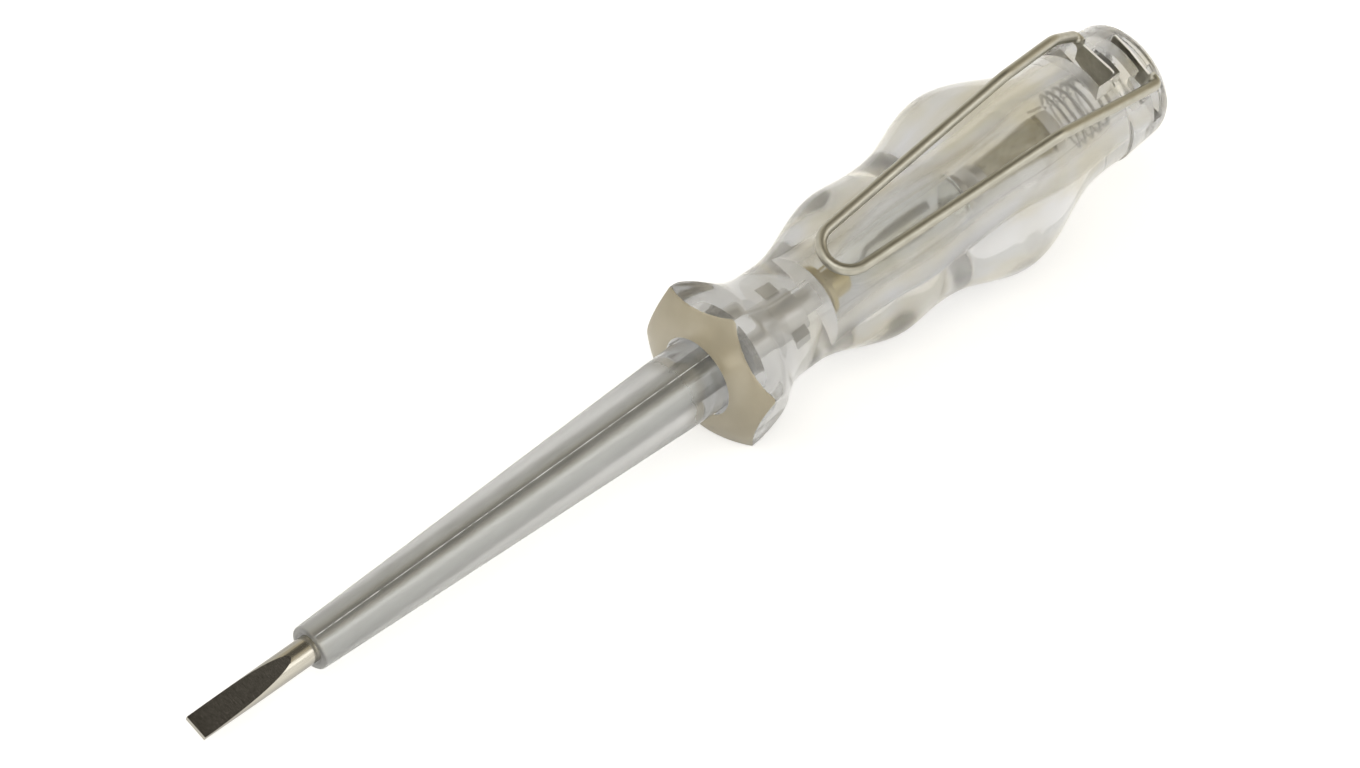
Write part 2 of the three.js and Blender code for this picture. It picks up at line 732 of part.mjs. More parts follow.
function contactSpring() {
  const line = new SpringLine();
  const section = new THREE.Shape();
  for (let side = 0; side < springSides; side++) {
    const angle = (2 * Math.PI * side) / springSides;
    const [x, y] = [springWireRadius * Math.cos(angle), springWireRadius * Math.sin(angle)];
    if (side === 0) section.moveTo(x, y);
    else section.lineTo(x, y);
  }
  section.closePath();
  const steps = springTurns * springStepsPerTurn;
  const coil = new THREE.ExtrudeGeometry(section, { steps, extrudePath: line, bevelEnabled: false });
  console.log('least gap between the turns of the contact spring:', leastSpringGap(line).toFixed(3), 'mm');
  return piece('contact_spring', welded(coil), 'springSteel');
}

// The tool along X. What lines up with the clip is turned with it, round to a corner of the guard.
function tool() {
  const turnedWithClip = new THREE.Group();
  turnedWithClip.rotation.x = clipTurn;
  turnedWithClip.add(blade(), pocketClip(), lampFrontElectrode(), lampRearElectrode());
  const group = new THREE.Group();
  group.add(handle(), bladeSleeve(), turnedWithClip);
  group.add(lampFrontCap(), lampGlass(), lampStem(), lampRearContact());
  group.add(resistorFrontCap(), resistorBody(), resistorRearCap(), contactSpring());
  return group;
}

// Laid down: the line under the guard's flat and the rear swelling becomes level, and the origin is on the
// floor under the middle of the tool.
function laidDown(group) {
  group.rotation.y = -Math.atan2(rearSwellingRadius - guardFlatRadius, rearSwellingAt - guardCornersAt);
  const part = new THREE.Group();
  part.add(group);
  part.updateMatrixWorld(true);
  const box = new THREE.Box3().setFromObject(part, true);
  group.position.set(-(box.min.x + box.max.x) / 2, -(box.min.y + box.max.y) / 2, -box.min.z);
  return part;
}

export default laidDown(tool());
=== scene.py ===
"""Voltage tester screwdriver: the looks.

The tool is drawn along X in millimetres, from the blade's end at 0 to the rear end of the handle. TOOL
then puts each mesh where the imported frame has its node. Angles round the tool are measured from +Z.
"""

import json
import math

import bpy
from mathutils import Matrix, Vector

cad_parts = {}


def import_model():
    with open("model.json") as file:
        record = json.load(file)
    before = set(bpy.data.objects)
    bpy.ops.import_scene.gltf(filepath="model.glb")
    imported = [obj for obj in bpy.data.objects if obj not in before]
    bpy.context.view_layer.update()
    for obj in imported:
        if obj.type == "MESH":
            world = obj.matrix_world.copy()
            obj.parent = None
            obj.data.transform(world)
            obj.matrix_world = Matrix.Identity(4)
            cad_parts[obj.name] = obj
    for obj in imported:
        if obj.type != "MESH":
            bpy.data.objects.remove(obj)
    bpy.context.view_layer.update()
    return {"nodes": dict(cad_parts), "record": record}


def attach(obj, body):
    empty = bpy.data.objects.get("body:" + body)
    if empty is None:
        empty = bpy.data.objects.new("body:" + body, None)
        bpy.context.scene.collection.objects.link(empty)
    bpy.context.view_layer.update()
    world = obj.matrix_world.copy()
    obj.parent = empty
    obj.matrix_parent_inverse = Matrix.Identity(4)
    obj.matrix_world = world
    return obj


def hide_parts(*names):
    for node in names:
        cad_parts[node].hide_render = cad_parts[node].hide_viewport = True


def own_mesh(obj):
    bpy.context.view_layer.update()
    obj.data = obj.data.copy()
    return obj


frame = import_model()

MILLIMETRE = 0.001

# Clearances and tolerances
SEAT_GAP = 0.3
CUT_OVERRUN = 1.0
TOUCH = 0.01
HAIR = 0.001

# Fineness of the meshes
SMOOTH_ANGLE = math.radians(35)
BLADE_SMOOTH_ANGLE = math.radians(20)
CORNER_SHARE = 0.45
PROFILE_LEAST = 0.13
PROFILE_STEP = 0.5
BORE_STEP = 2.0
BLADE_STEP = 0.6

# Blade
ROD_RADIUS = 1.55
TIP_RADIUS = 1.49
TIP_TAPER = 8.0
BLADE_SHOWING = 15.5
BLADE_SOFTENING = 0.06
TIP_THICKNESS = 0.6
TIP_LAND = 1.2
GRIND_LENGTH = 12.6
GRIND_WHEEL_RADIUS = 125.0
GROUND_FACE_NORMAL = 0.9
STUB_RADIUS = 0.9
STUB_LENGTH = 3.4
STUB_PROUD = 0.5
WING_SPAN = 4.8
WING_THICKNESS = 0.9
WING_LENGTH = 2.8
WING_SETBACK = 0.8

# Blade sleeve, with a small recess round the rod at its front end
SLEEVE_SHOWING = 56.3
SLEEVE_SEAT_DEPTH = 4.0
SLEEVE_FRONT_RADIUS = 2.56
SLEEVE_REAR_RADIUS = 4.38
SLEEVE_FRONT_BAND = 0.8
SLEEVE_FRONT_DRAW = 0.02
SLEEVE_SOFTENING = 0.4
RECESS_DEPTH = 0.25
RECESS_FLOOR_GAP = 0.12
RECESS_MOUTH_GAP = 0.3
SLEEVE_SEAM_HEIGHT = 0.02
SLEEVE_SEAM_WIDTH = 0.07
SLEEVE_SEAM_MARGIN = 0.5

# Handle. A swelling or hollow is a share of the handle's length and a radius.
SOLID_LENGTH = 16.7
HANDLE_LENGTH = 68.2
GUARD_FLAT_RADIUS = 8.6
GUARD_FACE_DEPTH = 2.1
GUARD_DOME_POWER = 2.2
GUARD_LAND = 0.3
GUARD_LEAN = math.radians(6)
GUARD_EDGE = 0.22
GUARD_SOFTENING = 0.15
GUARD_FACE_NORMAL = -0.35
SOCKET_LIP = 0.1
WAIST = (0.195, 6.27)
FRONT_SWELLING = (0.3695, 9.06)
NECK = (0.4443, 8.7)
REAR_SWELLING = (0.632, 11.28)
REAR_NECK_LENGTH = 0.8
REAR_NECK_RADIUS = 7.35
COLLAR_LENGTH = 6.9
COLLAR_RADIUS = 7.5
COLLAR_REAR_RADIUS = 6.95
COLLAR_CREASE_WIDTH = 0.5
COLLAR_CREASE_DEPTH = 0.2
COLLAR_RIM_RADIUS = 1.4
COLLAR_RIM_STEPS = 8
COLLAR_SOFTENING = 0.18
HOLLOW_SHARES = (2.3, 1.1, 1.1, 1.5, 1.6)
BORE_RADIUS = 3.6
SEAM_HEIGHT = 0.03
SEAM_WIDTH = 0.09
SEAM_MARGIN = 0.05

# Pocket clip. Each tongue has its reach past the middle, its leg's spread and rise, the side that it comes
# from, and its slot's room in front.
WIRE_RADIUS = 0.65
CLIP_TURN = math.radians(30)
CLIP_LIFT = math.radians(5)
LOOP_RADIUS = 2.9
LOOP_SETBACK = 8.3
LOOP_STEPS = 48
KINK_OVERRUN = 4.2
KINK_SPREAD = 4.55
KINK_LIFT = 1.4
KNEE_SETBACK = 5.2
KNEE_BEND = 1.0
TONGUE_BEND = 1.1
TONGUE_THICKNESS = 0.4
TONGUE_SINK = 0.3
TONGUE_GRIP = 0.7
TONGUE_ROUNDNESS = 0.35
TONGUE_NARROW_SHARE = 0.65
TONGUE_NARROW_SINK = 0.5
TONGUE_TURN_ROUNDNESS = 0.7
TONGUE_TURN_SINK = 0.2
TONGUE_EDGE_NORMAL = 0.6
FRONT_TONGUE = dict(reach=0.9, spread=5.35, rise=3.65, side=1, room=2.3)
REAR_TONGUE = dict(reach=2.7, spread=4.65, rise=1.55, side=-1, room=0.3)
TONGUE_PITCH = 3.7
SLOT_CLEARANCE = 0.35
MOUTH_SETBACK = 2.7
REAR_MARGIN = 2.3

# Lamp, resistor and spring
FRONT_CAP_LENGTH = 4.2
FRONT_CAP_RADIUS = 1.95
FRONT_CAP_FLANGE_RADIUS = 2.9
FRONT_CAP_FLANGE = 0.9
FRONT_CAP_SOFTENING = 0.25
LAMP_LENGTH = 16.6
LAMP_RADIUS = 3.0
LAMP_WALL = 0.5
LEAD_RADIUS = 0.3
LAMP_CONTACT_LENGTH = 1.0
RESISTOR_RADIUS = 2.0
RESISTOR_LENGTH = 9.2
RESISTOR_NECKING = 0.3
RESISTOR_BULGE = 0.04
RESISTOR_SOFTENING = 0.25
RESISTOR_CAP_WALL = 0.3
RESISTOR_CAP_GRIP = 1.3
RESISTOR_CAP_SOFTENING = 0.12
RESISTOR_POINT_LENGTH = 2.0
RESISTOR_DOME_LENGTH = 1.3
SPRING_WIRE_RADIUS = 0.25
SPRING_LENGTH = 8.4
SPRING_TURNS = 5.5
SPRING_STEPS_A_TURN = 48
SPRING_ROUNDNESS = 3
SPRING_CLOSE_SHARE = 0.2

# Where looks change along the tool, with the span of painted shade behind the guard, and the parting line
# drawn on the sleeve
WEAR_FADE = 1.0
FROST_FADE_START = 4.8
FROST_FADE_END = 3.0
SHADE_PAST_GUARD = 6.0
SHADE_SHORT_OF_SWELLING = 4.0
GLOSS_SHARE = 0.25
LINE_HALF_WIDTH = 0.03
LINE_REACH = 0.07

# Stage
FLOOR_REACH = 30.0
FLOOR_GLOW = 0.55
FLOOR_GLOW_THROUGH = 0.3
KEY_LAMP = dict(place=(-0.5, -0.5, 0.9), size=(0.7, 0.7), power=1.8)
FILL_LAMP = dict(place=(0.6, -0.8, 0.35), size=(0.9, 0.5), power=1.4)
# A zone of the studio lies round a direction from the tool. It is whole within the first angle, in
# degrees, and gone at the second.
BEHIND_TOWARD, BEHIND_ANGLES = (0.95, -0.1, 0.3), (22, 55)
FLAG_TOWARD, FLAG_ANGLES, ABOVE_ANGLES = (0.5, -0.02, 0.86), (14, 32), (28, 60)
# The walls pass light on many times, and turn dark where it is stopped early.
LIGHT_BOUNCES = 96

# Camera. The tool's slope in the picture and its place beside the middle are in the photograph's pixels.
PHOTO_WIDTH = 1360.0
FOCAL_PIXELS = 6077.5
AXIS_RUN, AXIS_RISE = 0.8185, 0.5745
AXIS_OFF_CENTRE = 3.6
SENSOR_WIDTH = 36.0
VIEW_TARGET = 69.5
VIEW_DISTANCE = 650.0
VIEW_TURN = math.radians(30)
CAMERA_NEAR, CAMERA_FAR = 0.01, 100.0

# Colours, dark and light where there are two
# The third clear colour is painted shade: a darker tint of the plastic behind the guard.
CLEAR_COOL, CLEAR_WARM, CLEAR_PAINTED_SHADE_BY_GUARD = (0.66, 0.665, 0.68), (0.61, 0.578, 0.475), (0.57, 0.572, 0.575)
CLEAR_BORE = (0.97, 0.965, 0.95)
CLEAR_SPECULAR = (1, 0.993, 0.97)
# The guard's beige is a painted reflection of the beige studio on its front face.
GUARD_PAINTED_BEIGE_REFLECTION = (0.42, 0.365, 0.25), (0.52, 0.465, 0.345)
FROST = (0.7, 0.705, 0.71), (0.8, 0.81, 0.82)
WORN_STEEL = (0.42, 0.4, 0.345), (0.68, 0.65, 0.575)
CLEAN_STEEL = (0.42, 0.425, 0.41), (0.67, 0.68, 0.665)
# Painted light: the rod is made pale where it is moulded into the handle.
MOULDED_IN_STEEL_PAINTED_LIGHT = (0.9, 0.89, 0.86), (0.98, 0.975, 0.96)
# Painted shade on the rod where its surface turns from the camera.
STEEL_PAINTED_EDGE_SHADE = (0.2, 0.19, 0.17)
# The ground faces' dark colours are a painted dark reflection, and their specks painted glints.
GROUND_GRAIN_PAINTED_DARK = (0.045, 0.042, 0.038), (0.14, 0.132, 0.12)
GROUND_PAINTED_GLINT = (0.3, 0.28, 0.25)
WIRE_NICKEL = (0.33, 0.315, 0.26), (0.56, 0.545, 0.48)
NICKEL = (0.74, 0.73, 0.7), (0.86, 0.85, 0.82)
SPRING_STEEL = (0.6, 0.6, 0.6), (0.78, 0.78, 0.78)
BRASS = (0.72, 0.6, 0.3), (0.92, 0.82, 0.52)
# Pale tin, also used as a painted highlight on the clip's tongue edges.
TIN_AND_PAINTED_HIGHLIGHT = (0.92, 0.91, 0.88), (0.98, 0.97, 0.95)
LAMP_CLEAR = (0.96, 0.97, 0.965)
LACQUER = (0.42, 0.37, 0.2), (0.76, 0.71, 0.53)
LACQUER_SPECK = (0.09, 0.075, 0.05)
FLOOR_GREY = (0.8, 0.8, 0.8)
STUDIO_PALE, STUDIO_BEHIND, STUDIO_ABOVE = (0.94, 0.92, 0.86), (0.66, 0.58, 0.42), (0.62, 0.56, 0.43)
FLAG_DARK = (0.13, 0.12, 0.1)
WHITE = (1, 1, 1)

# Refraction, the usual range of a noise's values, and how far a metal's polish strays from its own
PLASTIC_IOR = 1.49
GLASS_IOR = 1.5
NOISE_LOW, NOISE_HIGH = 0.3, 0.7
POLISH_LOW_SHARE, POLISH_HIGH_SHARE = 0.8, 1.3

# Worked out along the tool
SLEEVE_FRONT = BLADE_SHOWING
HANDLE_FRONT = SLEEVE_FRONT + SLEEVE_SHOWING
BORE_FLOOR = HANDLE_FRONT + SOLID_LENGTH
STUB_END = BORE_FLOOR + STUB_PROUD
ROD_END = STUB_END - STUB_LENGTH
FRONT_CAP_START = STUB_END + SEAT_GAP
LAMP_START = FRONT_CAP_START + FRONT_CAP_LENGTH + SEAT_GAP
LAMP_END = LAMP_START + LAMP_LENGTH
RESISTOR_POINT_START = LAMP_END + SEAT_GAP + LAMP_CONTACT_LENGTH + SEAT_GAP
RESISTOR_START = RESISTOR_POINT_START + RESISTOR_POINT_LENGTH
RESISTOR_END = RESISTOR_START + RESISTOR_LENGTH
SPRING_START = RESISTOR_END + SEAT_GAP + RESISTOR_DOME_LENGTH + SEAT_GAP
SPRING_END = SPRING_START + SPRING_LENGTH
FRONT_TONGUE_AT = SPRING_END + SEAT_GAP + TONGUE_THICKNESS / 2
REAR_TONGUE_AT = FRONT_TONGUE_AT + TONGUE_PITCH
HANDLE_REAR = REAR_TONGUE_AT + REAR_MARGIN
GUARD_CORNER_RADIUS = GUARD_FLAT_RADIUS / math.cos(math.pi / 6)
GUARD_CORNERS_AT = HANDLE_FRONT + GUARD_FACE_DEPTH
SLEEVE_SOCKET_RADIUS = SLEEVE_REAR_RADIUS + SEAT_GAP
SLEEVE_SOCKET_END = HANDLE_FRONT + SLEEVE_SEAT_DEPTH + SEAT_GAP
WAIST_AT, FRONT_SWELLING_AT, NECK_AT, REAR_SWELLING_AT = (
    HANDLE_FRONT + HANDLE_LENGTH * share for share, _ in (WAIST, FRONT_SWELLING, NECK, REAR_SWELLING)
)
COLLAR_FRONT = HANDLE_REAR - COLLAR_LENGTH
SPRING_RADIUS = BORE_RADIUS - SEAT_GAP
LOOP_FRONT_AT = FRONT_SWELLING_AT - LOOP_SETBACK
KINK_AT = REAR_SWELLING_AT + KINK_OVERRUN
KINK_HEIGHT = math.sqrt(REAR_SWELLING[1] ** 2 - KINK_SPREAD**2) + WIRE_RADIUS + KINK_LIFT
TONGUE_TOP = COLLAR_RADIUS - TONGUE_SINK
TONGUE_HEIGHT = TONGUE_TOP - SPRING_RADIUS + TONGUE_GRIP
TONGUE_MIDDLE = TONGUE_TOP - TONGUE_HEIGHT / 2
TONGUE_ENTRY = TONGUE_TOP - WIRE_RADIUS

# The tool's own axes in the frame, from the mount on the blade's end
blade_end = next(m for m in frame["record"]["mounts"] if m["name"] == "blade_end")
along = -Vector(blade_end["axis"]).normalized()
across = Vector((0, 1, 0))
TOOL_TURN = Matrix((along, across, along.cross(across))).transposed()
TOOL = Matrix.Translation(blade_end["pos_m"]) @ TOOL_TURN.to_4x4() @ Matrix.Scale(MILLIMETRE, 4)
CLIP = TOOL @ Matrix.Rotation(CLIP_TURN, 4, "X")


# Outline helpers

def curve_through(start, corner, end, steps):
    """Points on the curve from start to end that is drawn towards corner."""
    shares = [i / steps for i in range(steps + 1)]
    return [(1 - t) ** 2 * start + 2 * t * (1 - t) * corner + t * t * end for t in shares]


def soften(profile, radius, steps=5):
    """The profile with each inner corner rounded by up to radius."""
    points = [Vector(p) for p in profile]
    soft = [points[0]]
    for before, corner, after in zip(points, points[1:], points[2:]):
        back, on = before - corner, after - corner
        bend = min(radius, back.length * CORNER_SHARE, on.length * CORNER_SHARE)
        start, end = corner + back.normalized() * bend, corner + on.normalized() * bend
        soft += curve_through(start, corner, end, steps)
    soft.append(points[-1])
    return [tuple(p) for p in soft]


def resample(profile, step):
    """The profile with points added, so that none is further than step from the next."""
    points = [profile[0]]
    for (x0, r0), (x1, r1) in zip(profile, profile[1:]):
        count = max(1, math.ceil(math.hypot(x1 - x0, r1 - r0) / step))
        points += [(x0 + (x1 - x0) * i / count, r0 + (r1 - r0) * i / count) for i in range(1, count + 1)]
    return points


def thinned(profile, least):
    """The profile without the points that lie nearer than least to the one before. Its ends stay."""
    points = [profile[0]]
    for point in profile[1:-1]:
        if math.dist(point, points[-1]) >= least:
            points.append(point)
    return points + [profile[-1]]


def arc(centre, radius, first, last, steps=20):
    """Profile points on an arc about a place on the axis."""
    points = []
    for i in range(steps + 1):
        angle = first + (last - first) * i / steps
        points.append((centre + radius * math.cos(angle), radius * math.sin(angle)))
    return points


def rounded_route(corners, steps=14):
    """A route of stations through corners. A station is a dict with point, and a corner's bend rounds it."""
    route = []
    for i, corner in enumerate(corners):
        bend = corner.get("bend", 0)
        if not bend:
            route.append(corner)
            continue
        here = corner["point"]
        start = here.lerp(corners[i - 1]["point"], bend / (here - corners[i - 1]["point"]).length)
        end = here.lerp(corners[i + 1]["point"], bend / (here - corners[i + 1]["point"]).length)
        route += [dict(corner, point=point) for point in curve_through(start, here, end, steps)]
    return route


def seam(r, angle, plane, height, width):
    """How far the parting line in a plane raises the skin at an angle round the tool."""
    away = (angle - plane + math.pi) % (2 * math.pi) - math.pi
    return height * math.exp(-((away * r / width) ** 2))


def soft_least(first, second, edge):
    """The lesser of two lengths, rounded over edge where they change places."""
    share = max(0.0, min(1.0, 0.5 + 0.5 * (second - first) / edge))
    return second + (first - second) * share - edge * share * (1 - share)


# Mesh helpers

def add_object(name, data):
    made = bpy.data.objects.new(name, data)
    bpy.context.scene.collection.objects.link(made)
    return made


def shade(made, sharp=SMOOTH_ANGLE):
    """Smooth shading, with edges sharper than an angle kept."""
    made.data.shade_smooth()
    made.data.set_sharp_from_angle(angle=sharp)


def mesh_object(name, points, faces, place):
    mesh = bpy.data.meshes.new(name)
    mesh.from_pydata([tuple(p) for p in points], [], faces)
    mesh.transform(place)
    made = add_object(name, mesh)
    shade(made)
    return made


def evaluated_mesh(made):
    """A new mesh of made as its modifiers or its curve leave it."""
    bpy.context.view_layer.update()
    return bpy.data.meshes.new_from_object(made.evaluated_get(bpy.context.evaluated_depsgraph_get()))


def lathe(name, profile, place, sides=96, shape=None):
    """A closed body turned from (along, radius) points, with its ends on the axis or the profile closed.

    shape(along, radius, angle) may change a point's radius. A point on the axis is a ring of one point.
    """
    closed = profile[0] == profile[-1]
    points, rows = [], []
    for x, r in profile[:-1] if closed else profile:
        if r < HAIR:
            rows.append([len(points)] * sides)
            points.append((x, 0, 0))
            continue
        rows.append(list(range(len(points), len(points) + sides)))
        for i in range(sides):
            angle = 2 * math.pi * i / sides
            radius = shape(x, r, angle) if shape else r
            points.append((x, -radius * math.sin(angle), radius * math.cos(angle)))
    faces = []
    for low, high in zip(rows, rows[1:] + rows[:1] if closed else rows[1:]):
        for i in range(sides):
            j = (i + 1) % sides
            face = [low[i], low[j], high[j], high[i]]
            face = [v for k, v in enumerate(face) if v != face[k - 1]]
            if len(face) > 2:
                faces.append(face)
    return mesh_object(name, points, faces, place)


def box_object(name, low, high, place):
    low, high = Vector(map(min, low, high)), Vector(map(max, low, high))
    corners = [(x, y, z) for x in (low.x, high.x) for y in (low.y, high.y) for z in (low.z, high.z)]
    faces = [(0, 1, 3, 2), (4, 6, 7, 5), (0, 4, 5, 1), (2, 3, 7, 6), (0, 2, 6, 4), (1, 5, 7, 3)]
    return mesh_object(name, corners, faces, place)


def cut(made, *cutters, operation="DIFFERENCE"):
    """Takes the cutters away from made, or adds them, and deletes them."""
    for cutter in cutters:
        step = made.modifiers.new("cut", "BOOLEAN")
        step.operation, step.solver, step.object = operation, "MANIFOLD", cutter
        result = evaluated_mesh(made)
        made.modifiers.clear()
        made.data = result
        bpy.data.objects.remove(cutter)


def sweep(name, route, place, sides=32):
    """A capped skin along a route. Each station has a width across it, a height along +Z and a roundness."""
    points, faces = [], []
    for i, station in enumerate(route):
        forward = route[min(i + 1, len(route) - 1)]["point"] - route[max(i - 1, 0)]["point"]
        if station.get("level"):
            forward.z = 0
        forward.normalize()
        side = forward.cross(Vector((0, 0, 1))).normalized()
        tall = side.cross(forward)
        for k in range(sides):
            angle = 2 * math.pi * k / sides
            c, s = math.cos(angle), math.sin(angle)
            u = math.copysign(abs(c) ** station["roundness"], c) * station["width"] / 2
            v = math.copysign(abs(s) ** station["roundness"], s) * station["height"] / 2
            points.append(station["point"] + side * u + tall * v)
    for i in range(len(route) - 1):
        for k in range(sides):
            a, b = i * sides + k, i * sides + (k + 1) % sides
            faces.append((a, a + sides, b + sides, b))
    faces.append(tuple(range(sides)))
    last = (len(route) - 1) * sides
    faces.append(tuple(last + k for k in reversed(range(sides))))
    return mesh_object(name, points, faces, place)


def faces_in(made, axes):
    """Each face of made, with its centre and its normal in the axes given."""
    back = axes.inverted()
    turn = back.to_3x3()
    for face in made.data.polygons:
        yield face, back @ face.center, (turn @ face.normal).normalized()


def piece(made, node, body, slot, *materials):
    """made in the place of a node, on its body, with its materials. Its slot is not used."""
    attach(made, body)
    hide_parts(node)
    made.data.materials.clear()
    for material in materials:
        made.data.materials.append(material)
    return made


# Handle

def wave(start, end, hollow_share, steps=28):
    """The skin from one place to the next. A larger share keeps it low for longer."""
    (x0, r0), (x1, r1) = start, end
    low, high = min(r0, r1), max(r0, r1)
    points = []
    for i in range(1, steps + 1):
        share = i / steps
        from_low = share if r0 < r1 else 1 - share
        rise = (from_low * from_low * (3 - 2 * from_low)) ** hollow_share
        points.append((x0 + (x1 - x0) * share, low + (high - low) * rise))
    return points


def guard_dome(steps=24):
    """The guard's rounded front face, from the sleeve's socket to the corners."""
    points = []
    for i in range(steps + 1):
        share = i / steps
        radius = SLEEVE_SOCKET_RADIUS + (GUARD_CORNER_RADIUS - SLEEVE_SOCKET_RADIUS) * share
        points.append((HANDLE_FRONT + GUARD_FACE_DEPTH * share**GUARD_DOME_POWER, radius))
    return points


def front_end():
    """The sleeve's socket and the guard's face, up to its corners."""
    return soften([
        (SLEEVE_SOCKET_END, 0),
        (SLEEVE_SOCKET_END, SLEEVE_SOCKET_RADIUS),
        *guard_dome(),
        (GUARD_CORNERS_AT + GUARD_LAND, GUARD_CORNER_RADIUS),
    ], GUARD_SOFTENING)


def grip():
    """The waist, the swellings and the neck, from the guard's corners to the rear neck."""
    places = [
        (GUARD_CORNERS_AT + GUARD_LAND, GUARD_CORNER_RADIUS),
        (WAIST_AT, WAIST[1]),
        (FRONT_SWELLING_AT, FRONT_SWELLING[1]),
        (NECK_AT, NECK[1]),
        (REAR_SWELLING_AT, REAR_SWELLING[1]),
        (COLLAR_FRONT - REAR_NECK_LENGTH, REAR_NECK_RADIUS),
    ]
    points = [places[0]]
    for start, end, share in zip(places, places[1:], HOLLOW_SHARES):
        points += wave(start, end, share)
    return points


def rear_end():
    """The rear neck, the crease, the collar with its round rim, and the lamp bore."""
    rim = soften([
        (COLLAR_FRONT, COLLAR_RADIUS),
        (HANDLE_REAR, COLLAR_REAR_RADIUS),
        (HANDLE_REAR, BORE_RADIUS),
    ], COLLAR_RIM_RADIUS, COLLAR_RIM_STEPS)
    return soften([
        (COLLAR_FRONT - REAR_NECK_LENGTH, REAR_NECK_RADIUS),
        (COLLAR_FRONT - COLLAR_CREASE_WIDTH, REAR_NECK_RADIUS),
        (COLLAR_FRONT - COLLAR_CREASE_WIDTH / 2, REAR_NECK_RADIUS - COLLAR_CREASE_DEPTH),
        *rim,
        (BORE_FLOOR, BORE_RADIUS),
        (BORE_FLOOR, 0),
    ], COLLAR_SOFTENING)


def handle_profile():
    """The whole outline, with coarser steps in the bore than on the skin."""
    profile = thinned(front_end()[:-1] + grip() + rear_end()[1:], PROFILE_LEAST)
    bore = next(i for i, (x, r) in enumerate(profile) if x > WAIST_AT and r < BORE_RADIUS + HAIR)
    return resample(profile[:bore], PROFILE_STEP) + resample(profile[bore:], BORE_STEP)


def guard_shape(x, r, angle):
    """The six flats of the guard, with soft edges, and the mould's parting line in the clip's plane."""
    if r < SLEEVE_SOCKET_RADIUS + TOUCH or x > HANDLE_REAR - SEAM_MARGIN:
        return r
    if x < WAIST_AT:
        sixth = math.pi / 3
        off = (angle + sixth / 2) % sixth - sixth / 2
        lean = max(0.0, GUARD_CORNERS_AT - x) * math.tan(GUARD_LEAN)
        r = soft_least(r, (GUARD_FLAT_RADIUS - lean) / math.cos(off), GUARD_EDGE)
    for plane in (CLIP_TURN, CLIP_TURN + math.pi):
        r += seam(r, angle, plane, SEAM_HEIGHT, SEAM_WIDTH)
    return r


def mark_handle(made):
    """The second material goes on the walls of the lamp bore, and the third, with its painted beige
    reflection, on the guard's front face.
    """
    for face, centre, normal in faces_in(made, TOOL):
        radius = math.hypot(centre.y, centre.z)
        if centre.x > BORE_FLOOR - TOUCH and radius < BORE_RADIUS + 2 * TOUCH:
            face.material_index = 1
        elif (centre.x < GUARD_CORNERS_AT and radius > SLEEVE_SOCKET_RADIUS + SOCKET_LIP
              and normal.x < GUARD_FACE_NORMAL):
            face.material_index = 2


def slot_cutters(leg, tongue_at):
    """A tongue's slot across the collar, and the mouth that lets its wire in."""
    side, outside = leg["side"], COLLAR_RADIUS + CUT_OVERRUN
    half = TONGUE_THICKNESS / 2 + SLOT_CLEARANCE
    floor = TONGUE_TOP - TONGUE_HEIGHT - SEAT_GAP - TONGUE_PITCH / 2 * math.sin(CLIP_LIFT)
    blind = -side * (leg["reach"] + SLOT_CLEARANCE)
    inner = side * (leg["spread"] - TONGUE_BEND - 2 * WIRE_RADIUS)
    mouth_floor = TONGUE_ENTRY - WIRE_RADIUS - 2 * SLOT_CLEARANCE
    rear = tongue_at + WIRE_RADIUS + SLOT_CLEARANCE
    return [
        box_object("cutter", (tongue_at - half - leg["room"], blind, floor),
                   (tongue_at + half, side * outside, outside), CLIP),
        box_object("cutter", (tongue_at - MOUTH_SETBACK, inner, mouth_floor),
                   (rear, side * outside, outside), CLIP),
    ]


def handle():
    made = lathe("handle_moulding", handle_profile(), TOOL, sides=288, shape=guard_shape)
    cut(made, *slot_cutters(FRONT_TONGUE, FRONT_TONGUE_AT), *slot_cutters(REAR_TONGUE, REAR_TONGUE_AT))
    shade(made)
    return made


# Blade sleeve

def sleeve_seam(x, r, angle):
    """The mould's parting line on the part of the sleeve that shows."""
    if r > ROD_RADIUS + SLEEVE_SEAM_MARGIN and x < HANDLE_FRONT - SLEEVE_SEAM_MARGIN:
        return r + seam(r, angle, CLIP_TURN, SLEEVE_SEAM_HEIGHT, SLEEVE_SEAM_WIDTH)
    return r


def sleeve():
    seat_end = HANDLE_FRONT + SLEEVE_SEAT_DEPTH
    taper = (SLEEVE_REAR_RADIUS - SLEEVE_FRONT_RADIUS) / (HANDLE_FRONT - SLEEVE_FRONT)
    profile = soften([
        (SLEEVE_FRONT + RECESS_DEPTH, 0),
        (SLEEVE_FRONT + RECESS_DEPTH, ROD_RADIUS + RECESS_FLOOR_GAP),
        (SLEEVE_FRONT, ROD_RADIUS + RECESS_MOUTH_GAP),
        (SLEEVE_FRONT, SLEEVE_FRONT_RADIUS - SLEEVE_FRONT_DRAW),
        (SLEEVE_FRONT + SLEEVE_FRONT_BAND, SLEEVE_FRONT_RADIUS + taper * SLEEVE_FRONT_BAND),
        (HANDLE_FRONT, SLEEVE_REAR_RADIUS),
        (seat_end, SLEEVE_REAR_RADIUS),
        (seat_end, 0),
    ], SLEEVE_SOFTENING)
    return lathe("sleeve_tube", resample(profile, PROFILE_STEP), TOOL, sides=192, shape=sleeve_seam)


# Blade

